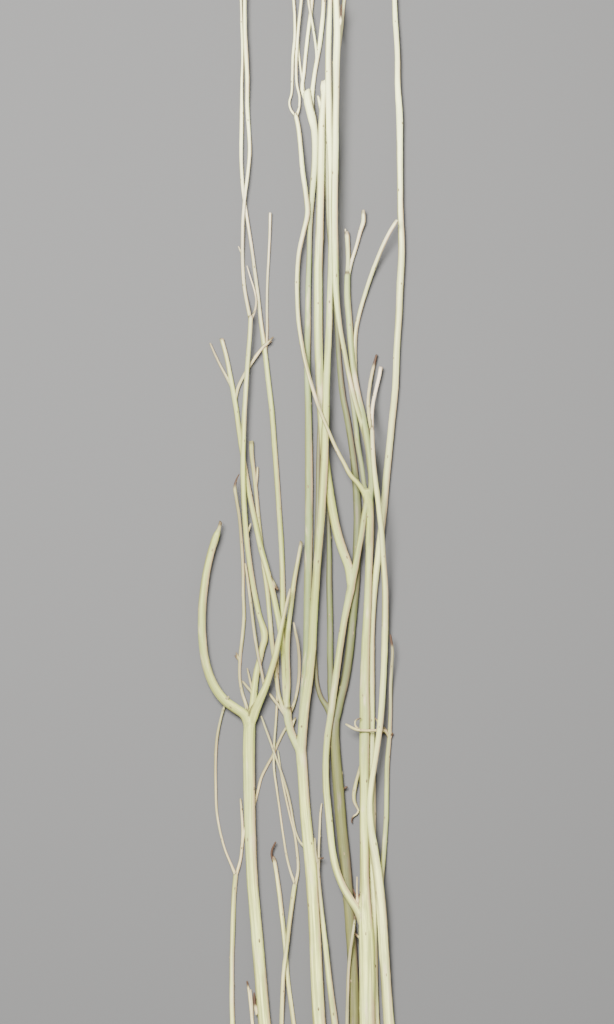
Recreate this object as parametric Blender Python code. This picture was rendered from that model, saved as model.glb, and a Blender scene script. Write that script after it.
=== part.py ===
# A bunch of peeled, bleached willow stems, cut and laid down flat on a surface.
# Metres, +Z up. The stems run along Y with their tips towards +Y, and the floor is Z = 0.
# The origin is on the floor, under the middle of the bunch.
import math

import bpy
import numpy as np

# Driving dimensions
SHEET_STEP = 0.0012        # one step of the layout sheet, in metres
SHEET_MIDDLE_X = 301.338     # the step of the sheet that lies over X = 0
SHEET_MIDDLE_Y = 502.221     # the step of the sheet that lies over Y = 0
RING_SPACING = 0.025       # length of one straight facet along a stem
SAMPLE_SPACING = 0.005     # how finely the lie of a stem over the others is worked out
THICK_STEM = 0.0085        # stems above this diameter have eight sides
THICK_SIDES = 8
THIN_SIDES = 6
STEM_GAP = 0.0007          # left between stems that lie on each other
SIDE_GAP = 0.0010          # stems nearer than this in plan count as over each other
JOIN_LENGTH = 0.040        # a branch is free of its parent stem this far from its root
STIFFNESS = 7.0            # how many diameters ahead a stem lifts to pass over another
LEAST_REACH = 0.040        # the shortest length over which a twig lifts
WOOD = (0.80, 0.78, 0.62)
SHADED_WOOD = (0.62, 0.60, 0.42)

# Each strand of wood is: stem, name, parent strand, rise of its tip in metres, route.
# A route is points of the layout sheet from root to tip: x to the right, y down, diameter,
# all in sheet steps. The order is that of laying them down: each lies over those before it.
STRANDS = [
    # The long stem on the outer right, which runs down behind the crowned stem
    ("outer_right_stem", "outer_right", None, 0.010, [
        (379, 1104, 8.5), (376, 1040, 8.2), (374, 980, 8), (373, 920, 8), (371.5, 860, 7.5),
        (372.5, 810, 7), (371.3, 750, 7), (371, 690, 7.4), (371, 635, 7.4), (374.5, 585, 6.8),
        (379, 550, 6.6), (383.5, 510, 6.8), (387, 470, 7), (391, 430, 6.6), (395, 390, 6.4),
        (397, 345, 6.4), (399.3, 300, 6.8), (401.3, 250, 6.8), (400, 200, 5.8), (399.6, 150, 6.2),
        (399, 110, 6.4), (397.5, 85, 5.6), (397, 50, 5.2), (394.5, 10, 5), (393, -30, 4),
        (394, -75, 2.8), (392, -108, 1.6)]),
    # The shaded stem that lies under the middle of the bunch
    ("shaded_stem", "shaded", None, 0.0, [
        (351.5, 1108, 10.5), (353.5, 1055, 10.5), (354.3, 1000, 10.5), (352, 950, 10.5), (349, 905, 10.8),
        (345, 860, 11), (341.5, 825, 11), (338.5, 790, 11), (336, 760, 10.5), (334.5, 735, 10),
        (335, 715, 9.5)]),
    ("shaded_stem", "shaded_right", "shaded", 0.004, [
        (335, 722, 9.2), (339.5, 702, 9), (345, 680, 8.6), (349, 655, 8.4), (352, 625, 8.2),
        (355, 590, 8.6), (357, 550, 8.6), (357.3, 510, 8.2), (355.5, 480, 7.2), (352, 450, 6.4),
        (347.5, 420, 6.2), (342.5, 395, 6), (339.5, 365, 5.2), (337.5, 335, 4.6), (334.5, 300, 4.6),
        (331.5, 260, 4.8), (328.5, 215, 4.8), (327, 170, 4.2), (326.5, 130, 3), (326, 95, 1.8)]),
    ("shaded_stem", "shaded_middle", "shaded", 0.006, [
        (334.5, 718, 7), (331, 700, 6.4), (330.3, 670, 6.4), (330, 630, 6.2), (329.3, 590, 6),
        (329, 550, 5), (328, 520, 3.6), (326.5, 490, 2.4)]),
    ("shaded_stem", "shaded_left", "shaded", 0.0, [
        (333, 722, 7), (327, 707, 6.4), (321, 698, 5), (317.3, 686, 4.4), (315.5, 665, 4.2),
        (314.5, 630, 4.2), (315, 590, 4.2), (316, 550, 4.4), (317.5, 510, 4.6), (318.3, 470, 4.4),
        (319, 430, 3.6), (320, 400, 2)]),
    # The slender forked stem on the outer left
    ("outer_left_stem", "outer_left", None, 0.0, [
        (236, 1088, 5.4), (233.5, 1040, 5), (232, 1000, 4.7), (232, 960, 4.6), (233, 925, 4.6),
        (234, 895, 4.6), (236, 872, 4.8)]),
    ("outer_left_stem", "outer_left_arc", "outer_left", 0.004, [
        (236, 876, 3.8), (231, 864, 2.6), (225.5, 851, 2.3), (220.5, 833, 2.3), (217, 812, 2.4),
        (215.7, 785, 2.6), (215.7, 760, 2.8), (217, 738, 2.8), (220.5, 720, 2.4), (224.5, 706, 2.3),
        (226.5, 700, 2.3)]),
    ("outer_left_stem", "outer_left_twig", "outer_left", 0.0, [
        (236.5, 874, 3.8), (240.3, 860, 3), (242.3, 843, 3), (246.5, 824, 2.8), (253, 808, 2.8),
        (257.5, 792, 2.8), (261.5, 777, 2.8), (267, 766, 2.8), (273, 755, 2.7), (278, 743, 2.7),
        (283, 733, 2.6), (287.5, 725.5, 2.4)]),
    ("outer_left_stem", "outer_left_tip", "outer_left_twig", 0.003, [
        (242, 847, 2.6), (242.6, 830, 2.6), (241.6, 812, 2.4), (240.5, 798, 1.5)]),
    # The two thin stems that cross near the cut end
    ("thin_broken_stem", "thin_broken", None, 0.004, [
        (301, 1086, 4.8), (296, 1040, 4.6), (291, 1005, 4.2), (288, 980, 4.2), (286, 958, 4.4),
        (284.5, 940, 4.5), (281.5, 912, 4.6), (278.5, 888, 4.4), (275.5, 866, 3.8), (273.3, 855, 3.2),
        (271.6, 851, 2.2), (273, 847.5, 1.8), (276, 841.5, 1.4)]),
    ("thin_forked_stem", "thin_forked", None, 0.0, [
        (281, 1096, 4.6), (281.5, 1050, 4.4), (282, 1010, 4.2), (283, 980, 4.1), (286, 952, 4.2),
        (289, 925, 4.4), (292, 903, 4.6), (295.3, 882, 4.6)]),
    ("thin_forked_stem", "thin_fork_left", "thin_forked", 0.002, [
        (295, 884, 3.2), (291, 873, 2.3), (287, 858, 2.1), (283.5, 837, 2.1), (280, 812, 2.1),
        (276.5, 788, 2.2), (274, 768, 2.2), (274.2, 745, 2.2), (275.8, 722, 2.3), (277, 700, 2.4),
        (277.7, 675, 2.5), (278, 655, 1.8)]),
    ("thin_forked_stem", "thin_fork_right", "thin_forked", 0.002, [
        (295.6, 884, 3.6), (298, 870, 2.8), (297, 852, 2.6), (294.5, 834, 2.4), (290.5, 818, 2.2),
        (286.3, 800, 2.2), (282.8, 783, 2.1), (280, 766, 2.1), (278, 750, 1.4)]),
    # The middle stem, its left fork with the strand that climbs to the top left, and its twigs
    ("middle_stem", "middle", None, 0.0, [
        (327, 1122, 13.5), (323, 1070, 13.2), (319, 1020, 13), (317, 980, 12.4), (315.3, 940, 12),
        (313, 900, 12), (310.8, 865, 12), (307.5, 835, 11.2), (304.8, 805, 10.6), (302.8, 775, 10.4),
        (301, 752, 10.6), (300, 742, 10)]),
    ("middle_stem", "middle_left", "middle", 0.0, [
        (300.5, 752, 8.6), (295.5, 742, 8), (290.3, 730, 7.6), (287.2, 715, 7.4), (286.2, 698, 7)]),
    ("middle_stem", "top_left_strand", "middle_left", 0.008, [
        (286.5, 704, 6.4), (285.5, 685, 6), (284, 655, 5.8), (282.8, 620, 5.6), (282.8, 590, 5.4),
        (282, 560, 5.2), (280, 525, 5.2), (277.2, 485, 5.2), (274.8, 450, 5.2), (272, 415, 5.2),
        (268.2, 380, 5), (264.5, 350, 4.8), (261, 322, 4), (257.8, 295, 3.5), (254, 265, 3.3),
        (250, 238, 3.2), (246.5, 214, 3.1), (243, 190, 3.3), (241.4, 165, 3.5), (241.5, 130, 3.5),
        (241.7, 95, 3), (242.4, 60, 2.4), (241.6, 20, 2.2), (240, -20, 1.9), (238, -60, 1.4)]),
    ("middle_stem", "upright_twig", "top_left_strand", 0.005, [
        (264.8, 358, 3.2), (266.7, 340, 2.6), (267, 310, 2.4), (267.2, 285, 2.4), (268.6, 255, 2.5),
        (269.8, 230, 2.6), (270.2, 213, 2.2)]),
    ("middle_stem", "leaning_twig", "middle_left", 0.012, [
        (286.8, 706, 5.4), (288, 685, 5), (287.3, 655, 5), (288.3, 630, 5), (291.3, 603, 5),
        (294.2, 580, 4.8), (298, 560, 4.2), (301.5, 543, 3)]),
    ("middle_stem", "looped_twig", "middle_left", 0.004, [
        (288, 717, 3.6), (292, 709, 3), (296, 696, 3), (298.6, 680, 3), (299.3, 662, 2.9),
        (298, 645, 2.7), (295.3, 631, 2.4), (293.7, 622, 1.6)]),
    ("middle_stem", "link_twig", "middle_left", 0.0, [
        (286.5, 717, 3.8), (280, 707, 3.2), (274.5, 700, 3), (269.5, 693.5, 2.2)]),
    ("middle_stem", "fork_stub", "middle_left", 0.002, [
        (290.5, 729, 3.6), (293, 723, 3), (295.5, 717, 2)]),
    ("middle_stem", "low_left_strand", "middle_left", 0.004, [
        (285.8, 712, 4.4), (279.3, 697, 4), (276.6, 680, 4), (274.3, 660, 4.2), (272, 640, 4.4),
        (269.3, 612, 4.6), (266.4, 585, 4.6), (263, 560, 4.2), (260.5, 535, 3.8), (258, 512, 3.8),
        (256, 493, 3.9), (253.8, 472, 4), (251.8, 455, 4.2), (251.3, 441.5, 4)]),
    ("middle_stem", "low_left_tip", "low_left_strand", 0.002, [
        (255.5, 489, 2.8), (257, 478, 2.4), (257.6, 467, 1.8)]),
    ("middle_stem", "crossing_strand", "top_left_strand", 0.002, [
        (283.8, 655, 6), (280.5, 630, 5.8), (276.5, 608, 5.6), (271.8, 588, 5.6), (266.5, 568, 5.6),
        (261, 548, 5.5), (256.5, 528, 5.4), (252.3, 508, 5.2), (248.5, 488, 4.9), (244.8, 467, 4.8),
        (241.3, 445, 5), (238.3, 425, 5), (235.8, 407, 5), (233, 390, 4.9), (230, 374, 4.5),
        (226.5, 357, 4.2), (222, 340, 3.8)]),
    ("middle_stem", "crossing_left_tip", "crossing_strand", 0.004, [
        (231.8, 387, 3.6), (226.5, 377, 3), (220.5, 366, 2.5), (214.7, 354, 2.2), (210, 343, 1.5)]),
    ("middle_stem", "crossing_right_tip", "crossing_strand", -0.002, [
        (235, 401, 3.8), (238, 388, 3.3), (244, 375.5, 3.2), (251, 364, 3.3), (257.5, 354.5, 3.2),
        (263.5, 347, 2.8), (268.5, 342, 2.3), (273.5, 337, 1.4)]),
    ("middle_stem", "back_strand", "middle", 0.006, [
        (300.6, 748, 7), (301.5, 725, 7), (303.7, 695, 7.2), (306.4, 660, 7.4), (307.4, 620, 7.8),
        (308, 580, 8), (308.8, 530, 8), (309, 480, 8), (308.7, 435, 7.4), (308, 400, 6.6),
        (307.4, 365, 6.2), (307.6, 325, 6), (308.3, 285, 5.4), (309.2, 250, 5), (310.2, 220, 5.2),
        (312.5, 190, 6), (314.8, 160, 6.4), (315, 138, 6.8), (313, 120, 6.6), (311, 108, 5.8)]),
    ("middle_stem", "back_left_tip", "back_strand", 0.012, [
        (312, 113, 5), (306.5, 102, 4.2), (302.3, 91, 3.8), (304, 72, 3.6), (306, 52, 3.6),
        (308.5, 30, 3.5), (310.8, 12, 3.7), (313, -15, 3.4), (312, -50, 2.6), (314, -85, 1.6)]),
    ("middle_stem", "back_right_tip", "back_strand", 0.016, [
        (312.2, 116, 5), (311.8, 97, 4.4), (314, 78, 4.2), (317.5, 58, 4.2), (320.5, 38, 4.2),
        (322.7, 18, 4.2), (324, -5, 4), (323, -45, 3.2), (325, -95, 1.8)]),
    ("middle_stem", "back_thin_tip", "back_right_tip", 0.010, [
        (316.6, 66, 2.6), (316, 50, 2.4), (313.8, 34, 2.2), (311.5, 20, 2.2), (308.8, 4, 2.4),
        (308, -25, 2), (305, -62, 1.3)]),
    ("middle_stem", "back_low_tip", "back_left_tip", 0.003, [
        (304.2, 95, 2.8), (301.4, 76, 2), (299.2, 58, 2), (297.8, 40, 2)]),
    ("middle_stem", "long_crossing_twig", "middle", 0.002, [
        (306.5, 848, 3), (301, 843, 2.2), (296.8, 835, 2), (293.3, 822, 2.2), (290.7, 806, 2.3),
        (287, 790, 2.4), (281.5, 772.5, 2.3), (276, 757.5, 2.2), (271, 743, 2.2), (265.3, 727, 2.2),
        (261.3, 715.5, 1.6)]),
    # The left stem, which forks into a wide arc, a lean branch and a long strand
    ("left_stem", "left", None, 0.0, [
        (273, 1112, 13), (268.5, 1060, 12.6), (263.8, 1015, 12.4), (260, 970, 12), (256.6, 930, 11.6),
        (253.2, 890, 11.2), (251, 850, 11.2), (249.8, 810, 11.6), (249.2, 770, 12), (249.3, 735, 12),
        (250, 716, 11)]),
    ("left_stem", "left_arc", "left", 0.012, [
        (249.5, 727, 10.4), (244.5, 714.5, 10), (235.5, 708, 9.6), (226, 701, 9.4), (217, 690, 9.2),
        (210, 676, 8.8), (205, 658, 8.5), (202.6, 638, 8.3), (202.2, 615, 8.2), (204, 590, 8),
        (207.5, 568, 7.6), (212.2, 549, 7), (217.4, 533, 6), (220.8, 521.5, 3.4)]),
    ("left_stem", "left_lean", "left", 0.006, [
        (251, 724, 9.4), (256, 709, 9), (261.5, 696, 7.6), (266, 686, 6.6), (270.3, 673, 6.2),
        (274.3, 660, 6.2), (277.8, 645, 5.8), (281.3, 628, 4.6), (284.7, 612, 3.4), (288, 598, 2.8),
        (290.5, 588, 2)]),
    ("left_stem", "left_long", "left", 0.008, [
        (251, 720, 9), (253, 705, 7.4), (254.3, 690, 6.6), (256.7, 673, 6.4), (260.3, 656, 6.4),
        (263.6, 644, 6.8), (264.3, 634, 6.6), (261.5, 618, 5.8), (256.8, 600, 5.6), (252.2, 580, 5.4),
        (249, 558, 5.2), (246.3, 533, 5.2), (244.3, 508, 5.2), (243.4, 480, 5.2), (243.3, 450, 5),
        (244.3, 420, 4.8), (246, 390, 4.6), (248.2, 358, 4.4), (250, 335, 4.4), (251, 316, 4.4)]),
    ("left_stem", "left_top", "left_long", 0.010, [
        (250.8, 322, 4), (247.5, 306, 3.7), (244.3, 288, 3.6), (242.8, 265, 3.5), (242.6, 240, 3.3),
        (243.2, 218, 3.1), (245, 198, 3.1), (247.8, 175, 3.4), (249.6, 150, 3.7), (248.7, 128, 3.6),
        (247.3, 105, 3.9), (247.2, 80, 4.2), (246.2, 55, 4.4), (245, 30, 4), (244.8, 0, 3.7),
        (246, -40, 3), (245, -90, 1.6)]),
    ("left_stem", "left_top_twig", "left_long", 0.002, [
        (251.4, 320, 3.2), (255, 311, 2.2), (256.2, 302, 1.9), (254.5, 291, 1.8), (250.8, 279, 1.6),
        (247, 266, 1.2)]),
    ("left_stem", "left_top_stub", "left_top", 0.002, [
        (242.8, 256, 2.4), (240.4, 251, 1.8), (238.4, 246.5, 1.2)]),
    ("left_stem", "left_thin_strand", "left", 0.004, [
        (248, 722, 5), (246.7, 707, 3.6), (242.6, 694, 3.1), (239.8, 678, 3), (240.2, 658, 3.3),
        (242.6, 636, 3.6), (244, 616, 3.5), (243.4, 592, 3.2), (242.8, 565, 3.2), (241.4, 540, 3.1),
        (239, 515, 3.1), (236.6, 499, 3.2), (235.3, 486, 3), (236.6, 480, 1.7), (239.6, 474, 1.1)]),
    ("left_stem", "left_short_spur", "left_long", 0.001, [
        (254, 694, 3.4), (247.5, 687, 2.7), (242.6, 681, 2)]),
    ("left_stem", "left_spur_tip", "left_long", 0.004, [
        (254.5, 697, 3), (250, 680, 2.2), (247.2, 668, 1.4)]),
    ("left_stem", "left_under_strand", "left_lean", 0.0, [
        (265, 689, 3.6), (262.3, 675, 2.8), (259, 660, 3), (256, 642, 3.2), (253.2, 622, 3.1),
        (250.6, 602, 3), (248, 582, 2.8), (245.3, 563, 1.8)]),
    ("left_stem", "left_bud_stub", "left_long", 0.001, [
        (246.3, 540, 3), (248.4, 531, 2.2), (251, 523.5, 1.3)]),
    ("left_stem", "left_low_spur", "left", 0.0, [
        (270, 1080, 5), (260, 1056, 4.6), (253.8, 1030, 4.4), (251.2, 1008, 3.6), (249, 992, 2.8),
        (246.8, 981, 1.7)]),
    # The crowned stem on the right, with its hub of five branches
    ("crowned_stem", "crowned", None, 0.0, [
        (368.5, 1116, 16.5), (367.8, 1070, 16.2), (367.2, 1020, 16), (367, 970, 15.6), (366.3, 935, 15),
        (365, 912, 13.5), (364.6, 885, 10), (364.2, 845, 9.2), (364, 800, 9), (364.2, 755, 9.8),
        (364.6, 715, 10.4), (364.6, 680, 9.4), (365.6, 645, 8.6), (367.4, 605, 7.6), (369, 560, 7.2),
        (369.7, 525, 7.6), (368.8, 500, 8.4)]),
    ("crowned_stem", "crowned_left", "crowned", 0.0, [
        (364, 925, 11), (358, 910, 9), (350.5, 898.5, 7.8), (343, 885.5, 7.4), (337, 870.5, 7.2),
        (332.8, 852, 7), (330.3, 832, 7), (328, 808, 7), (326, 785, 6.8), (325.7, 762, 6.6),
        (327.2, 740, 6.6), (330.2, 717, 6.6), (333.3, 695, 6.8), (336.5, 672, 6.8), (340, 646, 6.8),
        (344.2, 620, 6.8), (349, 597, 7.4), (351.5, 584, 8)]),
    ("crowned_stem", "broken_top_strand", "crowned_left", 0.004, [
        (351.3, 589, 8.2), (348.5, 567, 8.8), (342.5, 550, 9), (337, 532, 9), (332, 508, 9),
        (327.6, 480, 8.8), (323.8, 445, 8.6), (320.8, 405, 8.4), (319, 360, 8.4), (318.2, 310, 8.8),
        (318.3, 270, 8.6), (319.4, 235, 8), (320.4, 195, 7.6), (321, 155, 7.4), (322, 120, 6.6),
        (323.6, 95, 5.6), (324.8, 82, 4.4)]),
    ("crowned_stem", "hub_brace", "crowned_left", 0.004, [
        (350.8, 588, 7.6), (354.5, 570, 6.6), (358, 552, 6), (361.2, 534, 5.8), (364, 516, 5.8),
        (367, 501, 5.8)]),
    ("crowned_stem", "hub_left_twig", "crowned", 0.0, [
        (368.5, 503, 6), (364.5, 488, 4.6), (361.3, 466, 4.6), (358, 446, 5), (356, 427, 5),
        (353.2, 407, 4.4), (350.2, 388, 3.4), (347.5, 370, 2)]),
    ("crowned_stem", "hub_middle", "crowned", 0.004, [
        (369, 505, 7), (371, 485, 6), (369.6, 462, 5.8), (366.6, 438, 6.6), (362.3, 415, 6.8),
        (357.2, 393, 6.4), (353.3, 370, 6.2), (350.8, 345, 6.2), (349, 320, 6.2), (347.3, 295, 6.2),
        (347.4, 272, 5.6)]),
    ("crowned_stem", "middle_left_tip", "hub_middle", 0.004, [
        (347.4, 278, 4.8), (348, 260, 4.4), (347.5, 244, 4.4), (346, 234, 4), (344.6, 229.5, 2)]),
    ("crowned_stem", "middle_right_tip", "hub_middle", 0.008, [
        (347.6, 279, 4.2), (351.2, 263, 3.4), (356.5, 246, 3.5), (360.6, 231, 3.9), (363, 220, 4.4),
        (363.3, 210, 2.6)]),
    ("crowned_stem", "leaning_branch", "hub_middle", 0.016, [
        (356.2, 390, 4.8), (355, 370, 4), (354.8, 350, 3.9), (356, 330, 4), (359.5, 313, 4.1),
        (364.3, 296, 4.1), (370, 279, 4.2), (375.6, 264, 4.2), (382, 248, 4), (389, 233.5, 3.8),
        (395.6, 223, 3)]),
    # The middle stem's right fork, which lies over the crowned stem's broken strand
    ("middle_stem", "right_fork", "middle", 0.006, [
        (301.3, 752, 9.8), (302.6, 730, 9.6), (305.2, 705, 9.2), (308.8, 680, 8.8), (311.8, 650, 8.4),
        (313.8, 615, 8.2), (316, 580, 7.8), (318.8, 545, 7.6), (321.6, 510, 7.8), (324, 470, 8),
        (325.2, 430, 7.8), (326, 395, 7), (327.5, 358, 6.6), (329, 325, 6.4), (330, 290, 5.6),
        (330.8, 250, 5.2), (331, 210, 5.2), (330.3, 165, 5.6), (329, 120, 6.2), (328.3, 80, 6.2),
        (328.3, 45, 5.8), (329.5, 15, 4.8), (331, -20, 4.2), (330, -65, 3.2), (332, -110, 1.8)]),
    ("crowned_stem", "top_strand", "hub_middle", 0.012, [
        (369.5, 470, 5.4), (367.5, 450, 4.8), (361.5, 424, 4.7), (354.6, 400, 4.6), (349, 377, 4.6),
        (344, 350, 4.6), (339.6, 327, 4.9), (336.8, 303, 5.8), (335.3, 270, 6.6), (334.4, 230, 7),
        (334.3, 190, 7), (335, 145, 6.8), (335.6, 105, 6.4), (336.1, 70, 6.8), (337, 35, 7),
        (336, 0, 6.2), (337, -40, 4.8), (336, -80, 3.4), (338, -118, 1.8)]),
    ("crowned_stem", "top_right_tip", "top_strand", 0.010, [
        (337.8, 38, 4.2), (342, 18, 3.4), (344.8, -4, 3.2), (345.5, -40, 2.6), (349, -80, 1.6)]),
    ("crowned_stem", "long_left_strand", "crowned", 0.006, [
        (367.5, 499, 6), (361, 486.5, 5), (353, 476, 4), (344, 462, 3.7), (335, 446.5, 3.5),
        (327, 428.5, 3.5), (319, 408.5, 3.6), (312.3, 388, 3.7), (306.5, 367, 3.8), (302, 346, 3.9),
        (298.8, 324, 4.1), (297.3, 300, 4.2), (297.2, 277, 4.3), (299, 254, 4.3), (303.5, 233, 4.5),
        (307.4, 214, 5.2), (305.8, 195, 4.8), (302.8, 172, 4.5), (300.3, 148, 4.4), (297.8, 126, 4.4),
        (295.3, 114, 4.2)]),
    ("crowned_stem", "long_left_outer_tip", "long_left_strand", 0.010, [
        (296, 117, 3.2), (290.7, 110, 2.2), (289.2, 103, 2), (291.2, 95, 2.2), (292.2, 78, 2.5),
        (293, 58, 2.8), (294.8, 38, 2.9), (294.6, 18, 2.9), (293.2, -5, 2.7), (292, -40, 2.2),
        (294, -72, 1.4)]),
    ("crowned_stem", "long_left_inner_tip", "long_left_strand", 0.016, [
        (296, 118, 3.2), (299, 108, 2.4), (299.4, 98, 2.2), (297, 86, 2.4), (296.2, 66, 2.7),
        (297.2, 46, 2.8), (298.8, 24, 2.9), (301.5, 0, 3), (304, -30, 2.5), (302, -72, 1.5)]),
    ("crowned_stem", "hooked_twig", "crowned", 0.002, [
        (362.5, 760, 3.6), (359, 771, 3.4), (355.8, 784, 3.6), (354.6, 797, 3.2), (356.8, 805, 2.6),
        (358.8, 811, 2.2), (354.5, 815, 2), (351.8, 819, 1.8), (351, 823.5, 1.4)]),
    ("crowned_stem", "fork_sliver", "crowned_left", 0.004, [
        (358, 906, 3), (356.6, 893, 2.2), (356.8, 875, 1.4)]),
    # The right stem that leans over the crowned stem, with its outer twig
    ("leaning_stem", "leaning", None, 0.004, [
        (397, 1106, 11.5), (392.5, 1060, 11), (388.5, 1018, 10.6), (385.8, 980, 10.2), (383.2, 940, 10),
        (380.8, 905, 9.8), (377.5, 875, 9.6), (373.7, 848, 8.6), (370.6, 825, 7), (369.4, 803, 5.8),
        (371, 785, 5.6), (374, 765, 5.6), (377, 745, 5.8), (380, 722, 6), (382.4, 695, 6),
        (384, 660, 6.2), (385, 620, 6.6), (384.6, 585, 6.2), (382.7, 555, 5.6), (380.4, 525, 5.4),
        (377.6, 500, 5.2), (374.4, 475, 4.8), (372.3, 452, 4.5), (371.4, 428, 4.4)]),
    ("leaning_stem", "leaning_left_tip", "leaning", 0.004, [
        (371.4, 434, 3.8), (368.6, 416, 3.5), (368, 402, 3.3), (369.8, 386, 3.2), (373, 369, 3.1),
        (376.6, 354.5, 2.3)]),
    ("leaning_stem", "leaning_right_tip", "leaning", 0.008, [
        (371.6, 434, 3.8), (371.6, 416, 3.6), (373, 402, 3.4), (376.2, 388, 3.2), (379.2, 376, 3.1),
        (381.2, 367, 2.5)]),
    ("leaning_stem", "outer_twig", "leaning", 0.004, [
        (379.5, 897, 5.4), (381.8, 872, 4.8), (384.2, 848, 4.8), (386, 820, 4.8), (386.7, 790, 4.8),
        (387.2, 762, 4.7), (389.4, 736, 4.2), (390.3, 712, 3.6), (390.6, 686, 3.1), (391.8, 664, 2.8),
        (392.3, 650, 2.7), (390, 634, 2)]),
    ("leaning_stem", "cross_thorn", "outer_twig", 0.0, [
        (389, 737, 3.2), (384.5, 730, 3), (376, 729.5, 2.8), (364, 729.5, 2.7), (353, 727, 2.6),
        (345, 722.5, 1.4)]),
    # The curved thin stem beside the middle stem, and the slim shoot in front of the shaded stem
    ("curved_stem", "curved", None, 0.0, [
        (346, 1100, 7), (339.5, 1055, 6.8), (334, 1018, 6.6), (330, 985, 6), (326.6, 955, 5.2),
        (323.4, 925, 4.6), (320.6, 898, 3.6), (318.7, 876, 3), (317.6, 860, 2.8)]),
    ("curved_stem", "curved_left_tip", "curved", 0.002, [
        (317.9, 866, 2.6), (315.5, 851, 2.3), (314.8, 837, 1.6)]),
    ("curved_stem", "curved_right_tip", "curved", 0.001, [
        (318.8, 868, 2.6), (318.8, 848, 2.2), (319.6, 828, 2.2), (320.6, 812, 1.8), (321.8, 803, 1.3)]),
    ("slim_shoot", "slim", None, 0.002, [
        (345, 1072, 3.6), (346.8, 1030, 3.4), (347.4, 1000, 3.3), (348.2, 972, 3.3), (350.4, 948, 3.2),
        (352.8, 930, 2.8), (355, 914, 1.6)]),
]


def clear_scene():
    for thing in list(bpy.data.objects):
        bpy.data.objects.remove(thing, do_unlink=True)


def smooth_route(points, spacing):
    # A cubic curve through the route's points, read at even steps: x, y and radius in metres
    steps = np.array(points, dtype=float)
    route = np.empty_like(steps)
    route[:, 0] = (steps[:, 0] - SHEET_MIDDLE_X) * SHEET_STEP
    route[:, 1] = (SHEET_MIDDLE_Y - steps[:, 1]) * SHEET_STEP
    route[:, 2] = steps[:, 2] * SHEET_STEP / 2
    runs = np.hypot(np.diff(route[:, 0]), np.diff(route[:, 1]))
    along = np.concatenate([[0], np.cumsum(runs)])
    slope = np.gradient(route, along, axis=0)
    count = max(2, int(round(along[-1] / spacing)))
    out = []
    for place in np.linspace(0, along[-1], count + 1):
        i = min(int(np.searchsorted(along, place, side="right")) - 1, len(runs) - 1)
        h = runs[i]
        t = (place - along[i]) / h
        out.append(
            (2 * t**3 - 3 * t**2 + 1) * route[i]
            + (t**3 - 2 * t**2 + t) * h * slope[i]
            + (3 * t**2 - 2 * t**3) * route[i + 1]
            + (t**3 - t**2) * h * slope[i + 1]
        )
    return np.array(out)


def refined(line, spacing):
    # The same straight facets, read at closer steps, with the length along them
    lengths = np.hypot(np.diff(line[:, 0]), np.diff(line[:, 1]))
    along = np.concatenate([[0], np.cumsum(lengths)])
    places = np.linspace(0, along[-1], max(2, int(along[-1] / spacing)) + 1)
    return np.stack([np.interp(places, along, line[:, k]) for k in range(line.shape[1])], 1), places, along


def stacking_height(apart, eight, six):
    # How far one flat-sided stem's axis must stand above another's, this far apart in plan.
    # eight and six are the radii of the two that have eight sides, and six, added up.
    beside = apart - math.tan(math.pi / 8) * eight - math.tan(math.pi / 6) * six
    bevel = (2 - math.sqrt(2)) * eight
    drop = np.clip(beside, 0, bevel) + math.sqrt(3) * np.clip(beside - bevel, 0, None)
    clear = apart > eight + six / math.cos(math.pi / 6) + SIDE_GAP
    return np.where(clear, -np.inf, eight + six - drop)


def height_over(sample, sides, lower):
    # How high each sample's axis must be to clear the stems laid before it, or its radius
    need = sample[:, 2].copy()
    for line, line_sides in lower:
        near = (
            (line[:, 0].min() - 0.03 < sample[:, 0]) & (sample[:, 0] < line[:, 0].max() + 0.03)
            & (line[:, 1].min() - 0.03 < sample[:, 1]) & (sample[:, 1] < line[:, 1].max() + 0.03)
        )
        if not near.any():
            continue
        apart = np.hypot(
            sample[near, 0][:, None] - line[None, :, 0], sample[near, 1][:, None] - line[None, :, 1]
        )
        eight = np.full(apart.shape, STEM_GAP)
        six = np.zeros(apart.shape)
        for radius, count in ((sample[near, 2][:, None], sides), (line[None, :, 2], line_sides)):
            if count == THICK_SIDES:
                eight += radius
            else:
                six += radius
        top = line[None, :, 3] + stacking_height(apart, eight, six)
        need[near] = np.maximum(need[near], top.max(1))
    return need


def eased(need, places, reach):
    # The highest need within reach, averaged over the same reach: never below the need
    apart = np.abs(places[:, None] - places[None, :])
    highest = np.where(apart <= reach, need[None, :], -1).max(1)
    weight = np.where(apart <= reach, 1 + np.cos(np.pi * apart / reach), 0)
    return (weight * highest[None, :]).sum(1) / weight.sum(1)


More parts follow.
